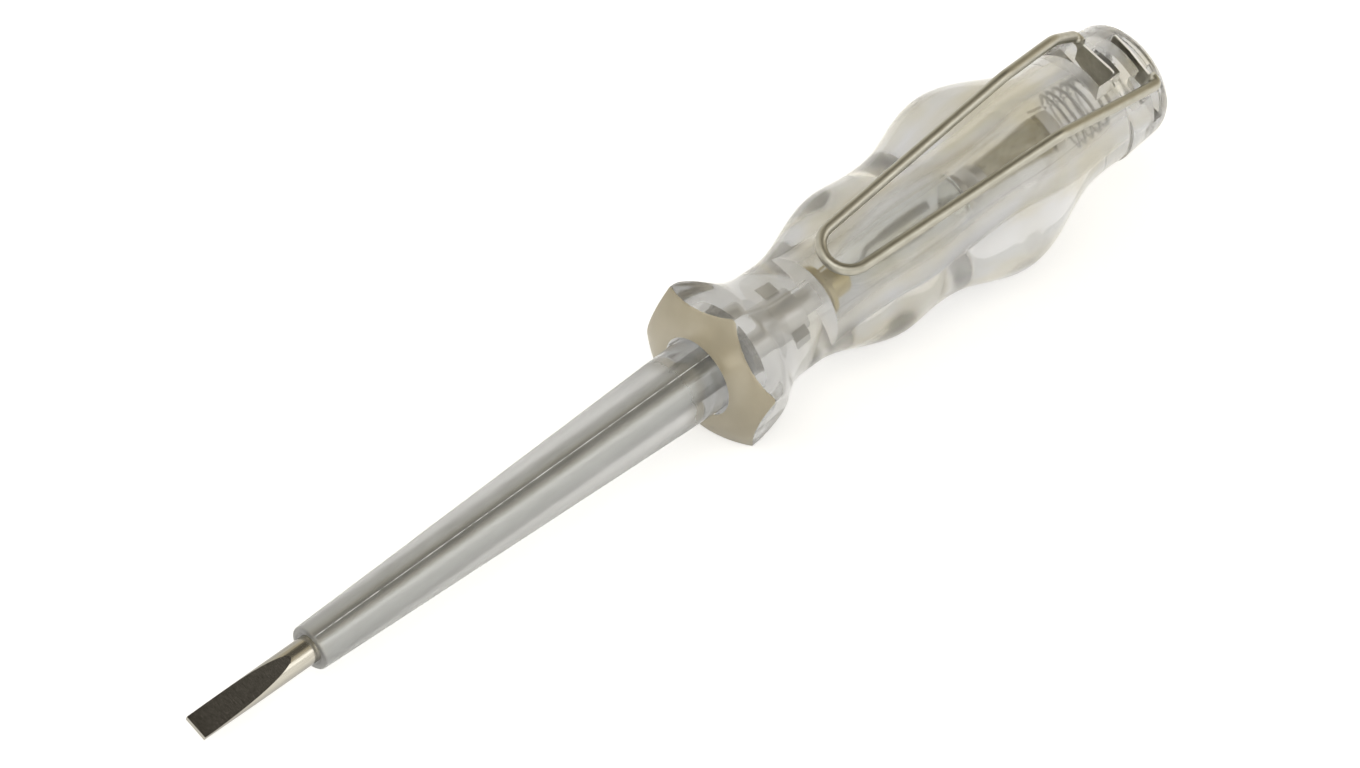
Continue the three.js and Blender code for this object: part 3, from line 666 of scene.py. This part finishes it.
def grind_outline(steps=40):
    """The ground face's places and heights, from the tip to where it runs out."""
    start, end = Vector((TIP_LAND, TIP_THICKNESS / 2)), Vector((GRIND_LENGTH, ROD_RADIUS))
    chord = end - start
    reach = math.sqrt(GRIND_WHEEL_RADIUS**2 - chord.length_squared / 4)
    centre = (start + end) / 2 + Vector((-chord.y, chord.x)).normalized() * reach
    first = math.atan2(start.y - centre.y, start.x - centre.x)
    last = math.atan2(end.y - centre.y, end.x - centre.x)
    outline = [(-CUT_OVERRUN, TIP_THICKNESS / 2)]
    for i in range(steps + 1):
        angle = first + (last - first) * i / steps
        outline.append((centre.x + GRIND_WHEEL_RADIUS * math.cos(angle),
                        centre.y + GRIND_WHEEL_RADIUS * math.sin(angle)))
    return outline


def grind_cutter(side):
    """What the grinding wheel takes off above the blade, or below it where side is -1."""
    outline = grind_outline()
    top = ROD_RADIUS + CUT_OVERRUN
    outline += [(outline[-1][0], top), (-CUT_OVERRUN, top)]
    count = len(outline)
    points = [(x, w, side * h) for w in (-top, top) for x, h in outline]
    faces = [tuple(range(count)), tuple(reversed(range(count, 2 * count)))]
    for i in range(count):
        j = (i + 1) % count
        faces.append((i, i + count, j + count, j))
    if side < 0:
        faces = [tuple(reversed(f)) for f in faces]
    return mesh_object("cutter", points, faces, CLIP)


def blade():
    """The rod with its ground tip, its stub and the two wings that hold it in the handle."""
    rod = soften([
        (0, 0),
        (0, TIP_RADIUS),
        (TIP_TAPER, ROD_RADIUS),
        (ROD_END, ROD_RADIUS),
        (ROD_END, STUB_RADIUS),
        (STUB_END, STUB_RADIUS),
        (STUB_END, 0),
    ], BLADE_SOFTENING)
    made = lathe("blade_rod", resample(rod, BLADE_STEP), CLIP, sides=128)
    rear = ROD_END - WING_SETBACK
    wings = box_object("cutter", (rear - WING_LENGTH, -WING_SPAN / 2, -WING_THICKNESS / 2),
                       (rear, WING_SPAN / 2, WING_THICKNESS / 2), CLIP)
    cut(made, grind_cutter(1), grind_cutter(-1))
    cut(made, wings, operation="UNION")
    shade(made, BLADE_SMOOTH_ANGLE)
    return made


def height_at(outline, x):
    """The outline's height at a place along it."""
    for (x0, h0), (x1, h1) in zip(outline, outline[1:]):
        if x0 <= x <= x1:
            return h0 + (h1 - h0) * (x - x0) / (x1 - x0)
    return ROD_RADIUS


def mark_ground_faces(made):
    """The second material, painted dark, goes on the ground faces of the tip."""
    outline = grind_outline()
    for face, centre, normal in faces_in(made, CLIP):
        if centre.x > GRIND_LENGTH or abs(normal.z) <= GROUND_FACE_NORMAL:
            continue
        if abs(abs(centre.z) - height_at(outline, centre.x)) < 2 * TOUCH:
            face.material_index = 1


# Pocket clip

WIRE = dict(width=2 * WIRE_RADIUS, height=2 * WIRE_RADIUS, roundness=1)
FLAT = dict(width=TONGUE_THICKNESS, height=TONGUE_HEIGHT, roundness=TONGUE_ROUNDNESS, level=True)
NARROW = dict(FLAT, height=TONGUE_HEIGHT * TONGUE_NARROW_SHARE)
TURN = dict(width=(WIRE["width"] + FLAT["width"]) / 2, height=(WIRE["height"] + NARROW["height"]) / 2,
            roundness=TONGUE_TURN_ROUNDNESS, level=True)


def leg_height(x):
    """The wire's height at a place between the loop and the kinks, where it rests on the front swelling."""
    spread = LOOP_RADIUS + (KINK_SPREAD - LOOP_RADIUS) * LOOP_SETBACK / (KINK_AT - LOOP_FRONT_AT)
    rest = math.sqrt(FRONT_SWELLING[1] ** 2 - spread**2) + WIRE_RADIUS + SEAT_GAP
    return rest + (KINK_HEIGHT - rest) * (x - FRONT_SWELLING_AT) / (KINK_AT - FRONT_SWELLING_AT)


def leg_route(leg, tongue_at):
    """One leg from its tongue's end, where the flat turns into round wire, to the start of the loop."""
    side, spread = leg["side"], leg["spread"]
    inner = spread - TONGUE_BEND
    narrow_middle = TONGUE_TOP - NARROW["height"] / 2 - TONGUE_NARROW_SINK
    loop_start = LOOP_FRONT_AT + LOOP_RADIUS

    def at(x, w, h):
        return Vector((x, side * w, h))

    return rounded_route([
        dict(FLAT, height=TONGUE_HEIGHT - TONGUE_THICKNESS,
             point=at(tongue_at, -leg["reach"], TONGUE_MIDDLE)),
        dict(FLAT, point=at(tongue_at, TONGUE_THICKNESS / 2 - leg["reach"], TONGUE_MIDDLE)),
        dict(FLAT, point=at(tongue_at, 0, TONGUE_MIDDLE)),
        dict(NARROW, point=at(tongue_at, inner - WIRE_RADIUS / 2, narrow_middle)),
        dict(TURN, point=at(tongue_at, inner - WIRE_RADIUS / 8, TONGUE_ENTRY - TONGUE_TURN_SINK)),
        dict(WIRE, point=at(tongue_at, inner + WIRE_RADIUS / 4, TONGUE_ENTRY), level=True),
        dict(WIRE, point=at(tongue_at, spread, TONGUE_ENTRY), bend=TONGUE_BEND - WIRE_RADIUS / 4),
        dict(WIRE, point=at(tongue_at - KNEE_SETBACK, spread, TONGUE_ENTRY + leg["rise"]), bend=KNEE_BEND),
        dict(WIRE, point=at(KINK_AT, KINK_SPREAD, KINK_HEIGHT), bend=KNEE_BEND),
        dict(WIRE, point=at(loop_start, LOOP_RADIUS, leg_height(loop_start))),
    ])


def pocket_clip():
    """One wire: the front tongue's leg, the loop, and the rear tongue's leg."""
    route = leg_route(FRONT_TONGUE, FRONT_TONGUE_AT)
    for i in range(1, LOOP_STEPS):
        angle = math.pi * i / LOOP_STEPS
        x = LOOP_FRONT_AT + LOOP_RADIUS * (1 - math.sin(angle))
        route.append(dict(WIRE, point=Vector((x, LOOP_RADIUS * math.cos(angle), leg_height(x)))))
    route += reversed(leg_route(REAR_TONGUE, REAR_TONGUE_AT))
    return sweep("clip_wire", route, CLIP)


def mark_painted_tongue_highlights(made):
    """The second material, pale tin, goes on the tongues' top edges as a painted highlight."""
    for face, centre, normal in faces_in(made, CLIP):
        on = any(abs(centre.x - at) < TONGUE_THICKNESS for at in (FRONT_TONGUE_AT, REAR_TONGUE_AT))
        if on and normal.z > TONGUE_EDGE_NORMAL and abs(centre.y) < KINK_SPREAD - TONGUE_BEND:
            face.material_index = 1


# Lamp, resistor and spring

def lamp_cap():
    """The brass contact, with a flange towards the blade's stub."""
    end = FRONT_CAP_START + FRONT_CAP_LENGTH
    return lathe("lamp_cap_turned", soften([
        (FRONT_CAP_START, 0),
        (FRONT_CAP_START, FRONT_CAP_FLANGE_RADIUS),
        (FRONT_CAP_START + FRONT_CAP_FLANGE, FRONT_CAP_FLANGE_RADIUS),
        (FRONT_CAP_START + FRONT_CAP_FLANGE, FRONT_CAP_RADIUS),
        (end, FRONT_CAP_RADIUS),
        (end, 0),
    ], FRONT_CAP_SOFTENING), TOOL)


def lamp_glass():
    """The lamp's tube, with a round front end that the lead passes through."""
    centre, inner, hole = LAMP_START + LAMP_RADIUS, LAMP_RADIUS - LAMP_WALL, LEAD_RADIUS + SEAT_GAP
    outside = arc(centre, LAMP_RADIUS, math.pi - math.asin(hole / LAMP_RADIUS), math.pi / 2)
    inside = arc(centre, inner, math.pi / 2, math.pi - math.asin(hole / inner))
    profile = [*outside, (LAMP_END, LAMP_RADIUS), (LAMP_END, inner), *inside, outside[0]]
    return lathe("lamp_tube", profile, TOOL)


def resistor():
    """The lacquered body, necked at both ends inside the caps."""
    necked = RESISTOR_RADIUS - RESISTOR_NECKING
    bulge = RESISTOR_RADIUS + RESISTOR_BULGE
    return lathe("resistor_lacquered", soften([
        (RESISTOR_START + SEAT_GAP, 0),
        (RESISTOR_START + SEAT_GAP, necked),
        (RESISTOR_START + RESISTOR_CAP_GRIP, necked),
        (RESISTOR_START + RESISTOR_CAP_GRIP + RESISTOR_NECKING, bulge),
        (RESISTOR_END - RESISTOR_CAP_GRIP - RESISTOR_NECKING, bulge),
        (RESISTOR_END - RESISTOR_CAP_GRIP, necked),
        (RESISTOR_END, necked),
        (RESISTOR_END, 0),
    ], RESISTOR_SOFTENING), TOOL)


def resistor_caps():
    """The pointed cap in front of the resistor, and the domed one behind it."""
    bore = RESISTOR_RADIUS - RESISTOR_NECKING + SEAT_GAP
    outer = bore + RESISTOR_CAP_WALL
    lip = RESISTOR_START + RESISTOR_CAP_GRIP - SEAT_GAP
    front = lathe("resistor_cap_front_drawn", soften([
        (RESISTOR_POINT_START, 0),
        (RESISTOR_POINT_START, LEAD_RADIUS),
        (RESISTOR_POINT_START + RESISTOR_POINT_LENGTH / 2, STUB_RADIUS),
        (RESISTOR_START - RESISTOR_CAP_WALL, outer),
        (lip, outer),
        (lip, bore),
        (RESISTOR_START, bore),
        (RESISTOR_START, 0),
    ], RESISTOR_CAP_SOFTENING), TOOL)
    lip = RESISTOR_END - RESISTOR_CAP_GRIP + SEAT_GAP
    floor = RESISTOR_END + SEAT_GAP
    dome = [(floor + x * RESISTOR_DOME_LENGTH, r * outer) for x, r in arc(0, 1, math.pi / 2, 0)]
    rear = lathe("resistor_cap_rear_drawn", [
        (floor, 0), (floor, bore), (lip, bore), (lip, outer), *dome[:-1], (dome[-1][0], 0)], TOOL)
    return front, rear


def spring():
    """The coil, one unbroken wire, with its turns closer at both ends."""
    steps = int(SPRING_TURNS * SPRING_STEPS_A_TURN)
    length = SPRING_LENGTH - 2 * SPRING_WIRE_RADIUS
    radius = SPRING_RADIUS - SPRING_WIRE_RADIUS
    curve = bpy.data.curves.new("spring", "CURVE")
    curve.dimensions = "3D"
    curve.bevel_depth = SPRING_WIRE_RADIUS
    curve.bevel_resolution = SPRING_ROUNDNESS
    curve.use_fill_caps = True
    line = curve.splines.new("POLY")
    line.points.add(steps)
    for i, point in enumerate(line.points):
        share = i / steps
        angle = 2 * math.pi * SPRING_TURNS * share
        reach = share - SPRING_CLOSE_SHARE * math.sin(2 * math.pi * share) / (2 * math.pi)
        place = SPRING_START + SPRING_WIRE_RADIUS + length * reach
        point.co = (place, radius * math.cos(angle), radius * math.sin(angle), 1)
    holder = add_object("spring", curve)
    mesh = evaluated_mesh(holder)
    bpy.data.objects.remove(holder)
    mesh.transform(TOOL)
    made = add_object("spring_wound", mesh)
    shade(made)
    return made


# Materials

class Nodes:
    """A node tree, with short calls to add to it."""

    def __init__(self, tree):
        self.tree = tree

    def add(self, kind, **values):
        """A new node, with values for its sockets and its settings."""
        node = self.tree.nodes.new(kind)
        for key, value in values.items():
            if key in node.inputs:
                node.inputs[key].default_value = value
            else:
                setattr(node, key, value)
        return node

    def feed(self, value, socket):
        """Gives a socket another node's output, or a number or colour of its own."""
        if isinstance(value, bpy.types.NodeSocket):
            self.tree.links.new(value, socket)
        else:
            socket.default_value = value

    def worked_out(self, operation, first, second, kind="ShaderNodeMath"):
        """A sum, product or the like of two values."""
        made = self.add(kind, operation=operation)
        self.feed(first, made.inputs[0])
        self.feed(second, made.inputs[1])
        return made

    def ranged(self, value, low, high, to_low, to_high, kind="LINEAR"):
        made = self.add("ShaderNodeMapRange", interpolation_type=kind)
        for key, number in zip(("From Min", "From Max", "To Min", "To Max"), (low, high, to_low, to_high)):
            made.inputs[key].default_value = number
        self.feed(value, made.inputs["Value"])
        return made.outputs["Result"]

    def mixed(self, share, first, second):
        """A colour between two, each a plain colour or another node's output."""
        made = self.add("ShaderNodeMix", data_type="RGBA")
        colours = [s for s in made.inputs if s.type == "RGBA"]
        for socket, colour in zip(colours, (first, second)):
            self.feed((*colour, 1) if isinstance(colour, tuple) else colour, socket)
        self.feed(share, made.inputs["Factor"])
        return next(s for s in made.outputs if s.type == "RGBA")


class Look(Nodes):
    """A material, whose patterns lie along the tool's own axes."""

    def __init__(self, name):
        self.material = bpy.data.materials.new(name)
        self.material.use_nodes = True
        super().__init__(self.material.node_tree)
        self.shader = self.tree.nodes["Principled BSDF"]
        self.output = self.tree.nodes["Material Output"]
        self.place = self.add("ShaderNodeTexCoord").outputs["Object"]

    def set(self, **values):
        """Gives the shader's sockets values or other nodes' outputs."""
        for key, value in values.items():
            self.feed(value, self.shader.inputs[key.replace("_", " ")])

    def stretched(self, scale):
        """Object coordinates along the tool's own axes, in millimetres times scale."""
        turn = TOOL_TURN.inverted()
        mapping = self.add("ShaderNodeMapping", vector_type="POINT", Rotation=turn.to_euler(),
                           Location=-(turn @ Vector(blade_end["pos_m"])))
        self.feed(self.place, mapping.inputs["Vector"])
        per_metre = [s / MILLIMETRE for s in scale]
        scaled = self.worked_out("MULTIPLY", mapping.outputs["Vector"], per_metre, "ShaderNodeVectorMath")
        return scaled.outputs["Vector"]

    def along(self):
        """The place along the tool, in millimetres."""
        parts = self.add("ShaderNodeSeparateXYZ")
        self.feed(self.stretched((1, 1, 1)), parts.inputs["Vector"])
        return parts.outputs["X"]

    def noise(self, scale, detail=4.0, roughness=0.6):
        """Noise with about scale cells a millimetre along and across the tool."""
        made = self.add("ShaderNodeTexNoise", Detail=detail, Roughness=roughness, Scale=1.0)
        self.feed(self.stretched(scale), made.inputs["Vector"])
        return made.outputs["Fac"]

    def varied(self, noise, low, high):
        """A value that follows a noise from low to high."""
        return self.ranged(noise, NOISE_LOW, NOISE_HIGH, low, high)

    def bump(self, value, distance, strength):
        made = self.add("ShaderNodeBump", Strength=strength, Distance=distance)
        self.feed(value, made.inputs["Height"])
        self.set(Normal=made.outputs["Normal"])


def clear_plastic():
    """Clear plastic with a slight haze and faint warm clouds in it, and painted shade behind the guard,
    where its tint is darker.
    """
    look = Look("clear_plastic")
    cloud = look.ranged(look.noise((0.07, 0.16, 0.16), 2), 0.45, 0.62, 0, 1)
    # Painted shade: the tint turns darker behind the guard.
    painted_shade_behind_guard = look.ranged(look.along(), GUARD_CORNERS_AT + SHADE_PAST_GUARD,
                               FRONT_SWELLING_AT - SHADE_SHORT_OF_SWELLING, 1, 0)
    look.set(
        Base_Color=look.mixed(painted_shade_behind_guard, look.mixed(cloud, CLEAR_COOL, CLEAR_WARM), CLEAR_PAINTED_SHADE_BY_GUARD),
        Roughness=look.ranged(look.noise((0.25, 0.6, 0.6)), 0.3, 0.75, 0.06, 0.14),
        Transmission_Weight=0.9, IOR=PLASTIC_IOR, Specular_Tint=(*CLEAR_SPECULAR, 1),
    )
    look.bump(look.noise((0.1, 0.3, 0.3), 2), 0.00003, 0.4)
    return look.material


def bore_plastic():
    """The lamp bore's walls: the same plastic, rougher and almost without colour."""
    look = Look("bore_plastic")
    look.set(
        Base_Color=(*CLEAR_BORE, 1), Transmission_Weight=0.92, IOR=PLASTIC_IOR,
        Roughness=look.varied(look.noise((0.15, 0.3, 0.3), 2), 0.2, 0.26),
    )
    return look.material


def guard_plastic_painted_reflection():
    """The guard's front face: the same plastic, satin, with a painted beige reflection as its colour."""
    look = Look("guard_plastic_painted_reflection")
    cloud = look.noise((0.3, 0.35, 0.35), 2)
    look.set(
        Base_Color=look.mixed(cloud, *GUARD_PAINTED_BEIGE_REFLECTION),
        Roughness=look.varied(cloud, 0.3, 0.42),
        Transmission_Weight=0.35, IOR=PLASTIC_IOR,
    )
    look.bump(look.noise((3, 3, 3), 3), 0.00001, 0.5)
    return look.material


def parting_line(look):
    """How far a place shows the sleeve's parting line, a broken line in the clip's plane."""
    beside = (0, math.cos(CLIP_TURN), math.sin(CLIP_TURN))
    off = look.worked_out("DOT_PRODUCT", look.stretched((1, 1, 1)), beside, "ShaderNodeVectorMath")
    away = look.add("ShaderNodeMath", operation="ABSOLUTE")
    look.feed(off.outputs["Value"], away.inputs[0])
    dashes = look.ranged(look.noise((1.1, 0.2, 0.2), 3, 0.7), 0.36, 0.56, 0, 1)
    near = look.ranged(away.outputs[0], LINE_HALF_WIDTH, LINE_REACH, 1, 0)
    return look.worked_out("MULTIPLY", near, dashes).outputs[0]


def frosted_plastic():
    """Frosted plastic that turns glossy towards the guard, with the mould's parting line drawn on it."""
    look = Look("frosted_plastic")
    cloud = look.noise((0.2, 1.0, 1.0), 3, 0.5)
    frost = look.ranged(look.along(), HANDLE_FRONT - FROST_FADE_START, HANDLE_FRONT - FROST_FADE_END,
                        1, GLOSS_SHARE)
    rough = look.worked_out("MULTIPLY", frost, look.varied(cloud, 0.29, 0.4))
    look.set(
        Base_Color=look.mixed(look.varied(cloud, 0, 1), *FROST),
        Roughness=rough.outputs[0],
        Transmission_Weight=look.ranged(parting_line(look), 0, 1, 0.88, 0.05),
        IOR=PLASTIC_IOR,
    )
    look.bump(look.noise((0.6, 1.2, 1.2), 2, 0.5), 0.00001, 0.5)
    return look.material


def rod_steel():
    """Round rod, worn in front, clean in the sleeve, painted bright where it is moulded into the handle and
    painted dark where it turns from the camera.
    """
    look = Look("rod_steel")
    streaks = look.noise((0.4, 9, 9), 5)
    # Painted shade: the rod turns dark where its surface faces away from the camera.
    weight = look.add("ShaderNodeLayerWeight", Blend=0.5)
    painted_edge_shade = look.ranged(weight.outputs["Facing"], 0.3, 0.85, 0, 1)
    in_sleeve = look.ranged(look.along(), SLEEVE_FRONT, SLEEVE_FRONT + WEAR_FADE, 0, 1)
    # Painted light: inside the handle the rod is paler and less metallic, for the light that the plastic
    # holds back.
    moulded_in = look.ranged(look.along(), HANDLE_FRONT, SLEEVE_SOCKET_END, 0, 1)
    round_rod = look.mixed(in_sleeve, look.mixed(streaks, *WORN_STEEL), look.mixed(streaks, *CLEAN_STEEL))
    rod_with_painted_edge_shade = look.mixed(painted_edge_shade, round_rod, STEEL_PAINTED_EDGE_SHADE)
    look.set(
        Base_Color=look.mixed(moulded_in, rod_with_painted_edge_shade, look.mixed(streaks, *MOULDED_IN_STEEL_PAINTED_LIGHT)),
        Metallic=look.ranged(moulded_in, 0, 1, 1, 0.5),
        Roughness=look.ranged(moulded_in, 0, 1, 0.2, 0.3),
    )
    look.bump(look.noise((0.5, 14, 14), 3), 0.000008, 0.5)
    return look.material


def ground_steel_painted_dark():
    """Ground faces painted dark for the dark reflection that they show, with cross grain and bright specks
    painted as glints.
    """
    look = Look("ground_steel_painted_dark")
    grain = look.noise((14, 1.6, 1.6), 4, 0.8)
    specks = look.ranged(look.noise((16, 9, 9), 2, 0.8), 0.6, 0.75, 0, 1)
    dark = look.mixed(look.varied(grain, 0, 1), *GROUND_GRAIN_PAINTED_DARK)
    look.set(
        Base_Color=look.mixed(specks, dark, GROUND_PAINTED_GLINT),
        Roughness=look.varied(grain, 0.35, 0.55),
        Metallic=1.0,
    )
    look.bump(grain, 0.00001, 0.8)
    return look.material


def nickel_wire():
    """The clip's dull nickel plating, with cloudy tarnish."""
    look = Look("nickel_wire")
    look.set(
        Base_Color=look.mixed(look.noise((0.5, 1.5, 1.5), 5), *WIRE_NICKEL),
        Roughness=look.varied(look.noise((2.5, 5, 5), 4), 0.29, 0.42),
        Metallic=1.0,
    )
    look.bump(look.noise((3, 7, 7), 4), 0.00001, 0.5)
    return look.material


def plain_metal(name, colours, rough, metallic=1.0):
    """A metal inside the handle, with clouds in its colour and polish."""
    look = Look(name)
    cloud = look.noise((1.5, 1.5, 1.5), 4)
    look.set(
        Base_Color=look.mixed(cloud, *colours),
        Roughness=look.varied(cloud, rough * POLISH_LOW_SHARE, rough * POLISH_HIGH_SHARE),
        Metallic=metallic,
    )
    look.bump(look.noise((5, 5, 5), 3), 0.000008, 0.5)
    return look.material


def glass():
    """The lamp's clear glass, very faintly hazed."""
    look = Look("lamp_glass")
    look.set(
        Base_Color=(*LAMP_CLEAR, 1), Transmission_Weight=1.0, IOR=GLASS_IOR,
        Roughness=look.ranged(look.noise((0.4, 0.4, 0.4), 2), 0.4, 0.8, 0.0, 0.02),
    )
    return look.material


def lacquer():
    """Olive lacquer with dark specks."""
    look = Look("resistor_lacquer")
    cloud = look.ranged(look.noise((0.5, 0.9, 0.9), 4, 0.7), 0.35, 0.65, 0, 1)
    specks = look.ranged(look.noise((2.5, 3.5, 3.5), 3, 0.8), 0.55, 0.7, 0, 1)
    look.set(
        Base_Color=look.mixed(specks, look.mixed(cloud, *LACQUER), LACQUER_SPECK),
        Roughness=look.varied(cloud, 0.35, 0.5),
    )
    look.bump(look.noise((3, 3, 3), 3), 0.00003, 0.5)
    return look.material


# Build

nickel = plain_metal("nickel", NICKEL, 0.4)
spring_steel = plain_metal("spring_steel", SPRING_STEEL, 0.36, 0.6)
brass = plain_metal("brass", BRASS, 0.34, 0.5)
# Pale tin for the electrodes and the rear resistor cap, and a painted highlight on the clip's tongue edges.
tin_and_painted_highlight = plain_metal("tin_and_painted_highlight", TIN_AND_PAINTED_HIGHLIGHT, 0.5, 0.2)
lamp = glass()

handle_piece = piece(handle(), "handle", "handle", "clear_plastic",
                     clear_plastic(), bore_plastic(), guard_plastic_painted_reflection())
mark_handle(handle_piece)
piece(sleeve(), "blade_sleeve", "handle", "frosted_plastic", frosted_plastic())
blade_piece = piece(blade(), "blade", "handle", "blade_steel", rod_steel(), ground_steel_painted_dark())
mark_ground_faces(blade_piece)
clip_piece = piece(pocket_clip(), "pocket_clip", "clip", "nickel_wire", nickel_wire(), tin_and_painted_highlight)
mark_painted_tongue_highlights(clip_piece)
piece(lamp_cap(), "lamp_front_cap", "lamp_stack", "brass", brass)
piece(lamp_glass(), "lamp_glass", "lamp_stack", "lamp_glass", lamp)
piece(resistor(), "resistor_body", "lamp_stack", "resistor_brown", lacquer())
cap_front, cap_rear = resistor_caps()
piece(cap_front, "resistor_front_cap", "lamp_stack", "nickel", nickel)
piece(cap_rear, "resistor_rear_cap", "lamp_stack", "nickel", tin_and_painted_highlight)
coil = piece(spring(), "contact_spring", "handle", "spring_steel", spring_steel)
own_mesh(coil)

# The CAD nodes that stay as they are, with their looks
for name, look in (("lamp_stem", lamp), ("lamp_front_electrode", tin_and_painted_highlight), ("lamp_rear_electrode", tin_and_painted_highlight),
                   ("lamp_rear_contact", nickel)):
    node = frame["nodes"][name]
    node.data.materials.clear()
    node.data.materials.append(look)
    shade(node)


# Stage

def floor():
    """A grey floor that keeps the shadow and glows white to the camera, and less through the plastic."""
    corners = [(x * FLOOR_REACH, y * FLOOR_REACH, 0) for x, y in ((-1, -1), (1, -1), (1, 1), (-1, 1))]
    made = mesh_object("floor", corners, [(0, 1, 2, 3)], Matrix.Identity(4))
    look = Look("floor")
    look.set(Base_Color=(*FLOOR_GREY, 1), Roughness=0.9)
    path = look.add("ShaderNodeLightPath")
    seen = look.worked_out("ADD", path.outputs["Is Camera Ray"], path.outputs["Is Glossy Ray"])
    through = path.outputs["Is Transmission Ray"]
    bright = look.worked_out("MULTIPLY_ADD", through, FLOOR_GLOW_THROUGH / FLOOR_GLOW)
    look.feed(seen.outputs[0], bright.inputs[2])
    seen.use_clamp = bright.use_clamp = True
    glow = look.add("ShaderNodeEmission", Color=(*WHITE, 1))
    look.feed(look.ranged(bright.outputs[0], 0, 1, 0, FLOOR_GLOW), glow.inputs["Strength"])
    both = look.add("ShaderNodeAddShader")
    look.feed(look.shader.outputs[0], both.inputs[0])
    look.feed(glow.outputs[0], both.inputs[1])
    look.feed(both.outputs[0], look.output.inputs["Surface"])
    made.data.materials.append(look.material)


def world():
    """A pale studio, beige behind and above the handle, with one dark flag, and seen white by the camera."""
    made = bpy.data.worlds.new("studio")
    bpy.context.scene.world = made
    made.use_nodes = True
    nodes = Nodes(made.node_tree)
    nodes.tree.nodes.clear()
    place = nodes.add("ShaderNodeTexCoord").outputs["Generated"]

    def zone(under, toward, angles, colour):
        """A colour over another, round a direction from the tool, fading between two angles from it."""
        centre = TOOL_TURN @ Vector(toward).normalized()
        dot = nodes.worked_out("DOT_PRODUCT", place, centre, "ShaderNodeVectorMath").outputs["Value"]
        near, far = (math.cos(math.radians(angle)) for angle in angles)
        return nodes.mixed(nodes.ranged(dot, far, near, 0, 1, "SMOOTHSTEP"), under, colour)

    behind = zone(STUDIO_PALE, BEHIND_TOWARD, BEHIND_ANGLES, STUDIO_BEHIND)
    above = zone(behind, FLAG_TOWARD, ABOVE_ANGLES, STUDIO_ABOVE)
    sky = zone(above, FLAG_TOWARD, FLAG_ANGLES, FLAG_DARK)
    lit = nodes.add("ShaderNodeBackground")
    nodes.feed(sky, lit.inputs["Color"])
    white = nodes.add("ShaderNodeBackground", Color=(*WHITE, 1))
    choose = nodes.add("ShaderNodeMixShader")
    nodes.feed(nodes.add("ShaderNodeLightPath").outputs["Is Camera Ray"], choose.inputs[0])
    nodes.feed(lit.outputs[0], choose.inputs[1])
    nodes.feed(white.outputs[0], choose.inputs[2])
    nodes.feed(choose.outputs[0], nodes.add("ShaderNodeOutputWorld").inputs["Surface"])


def lamp_panel(name, place, size, power):
    """A soft studio lamp, turned to the tool."""
    data = bpy.data.lights.new(name, "AREA")
    data.shape = "RECTANGLE"
    data.size, data.size_y = size
    data.energy = power
    made = add_object(name, data)
    made.location = place
    made.rotation_euler = (-Vector(place)).to_track_quat("-Z", "Y").to_euler()


def camera():
    """The photograph's view, from the blade's side and above, with the tool's axis on the same slope."""
    roll = math.atan2(AXIS_RISE, AXIS_RUN)
    diagonal = math.sqrt(0.5)
    lengthwise = Vector((1, 0, 0))
    facing = Vector((0, -diagonal, diagonal))
    beside = Vector((0, diagonal, diagonal))
    back = lengthwise * -math.sin(VIEW_TURN) + facing * math.cos(VIEW_TURN)
    seen_axis = lengthwise * math.cos(VIEW_TURN) + facing * math.sin(VIEW_TURN)
    right = seen_axis * math.cos(roll) - beside * math.sin(roll)
    up = seen_axis * math.sin(roll) + beside * math.cos(roll)
    data = bpy.data.cameras.new("camera")
    data.sensor_width = SENSOR_WIDTH
    data.lens = FOCAL_PIXELS * SENSOR_WIDTH / PHOTO_WIDTH
    data.shift_x = -AXIS_OFF_CENTRE * math.sin(roll) / PHOTO_WIDTH
    data.shift_y = AXIS_OFF_CENTRE * math.cos(roll) / PHOTO_WIDTH
    data.clip_start, data.clip_end = CAMERA_NEAR, CAMERA_FAR
    made = add_object("camera", data)
    turn = (TOOL_TURN @ Matrix((right, up, back)).transposed()).to_4x4()
    place = TOOL @ (lengthwise * VIEW_TARGET + back * VIEW_DISTANCE)
    made.matrix_world = Matrix.Translation(place) @ turn
    bpy.context.scene.camera = made


floor()
world()
lamp_panel("key", **KEY_LAMP)
lamp_panel("fill", **FILL_LAMP)
camera()
scene = bpy.context.scene
scene.view_settings.view_transform = "Standard"
for kind in ("max_bounces", "transmission_bounces", "glossy_bounces"):
    setattr(scene.cycles, kind, LIGHT_BOUNCES)
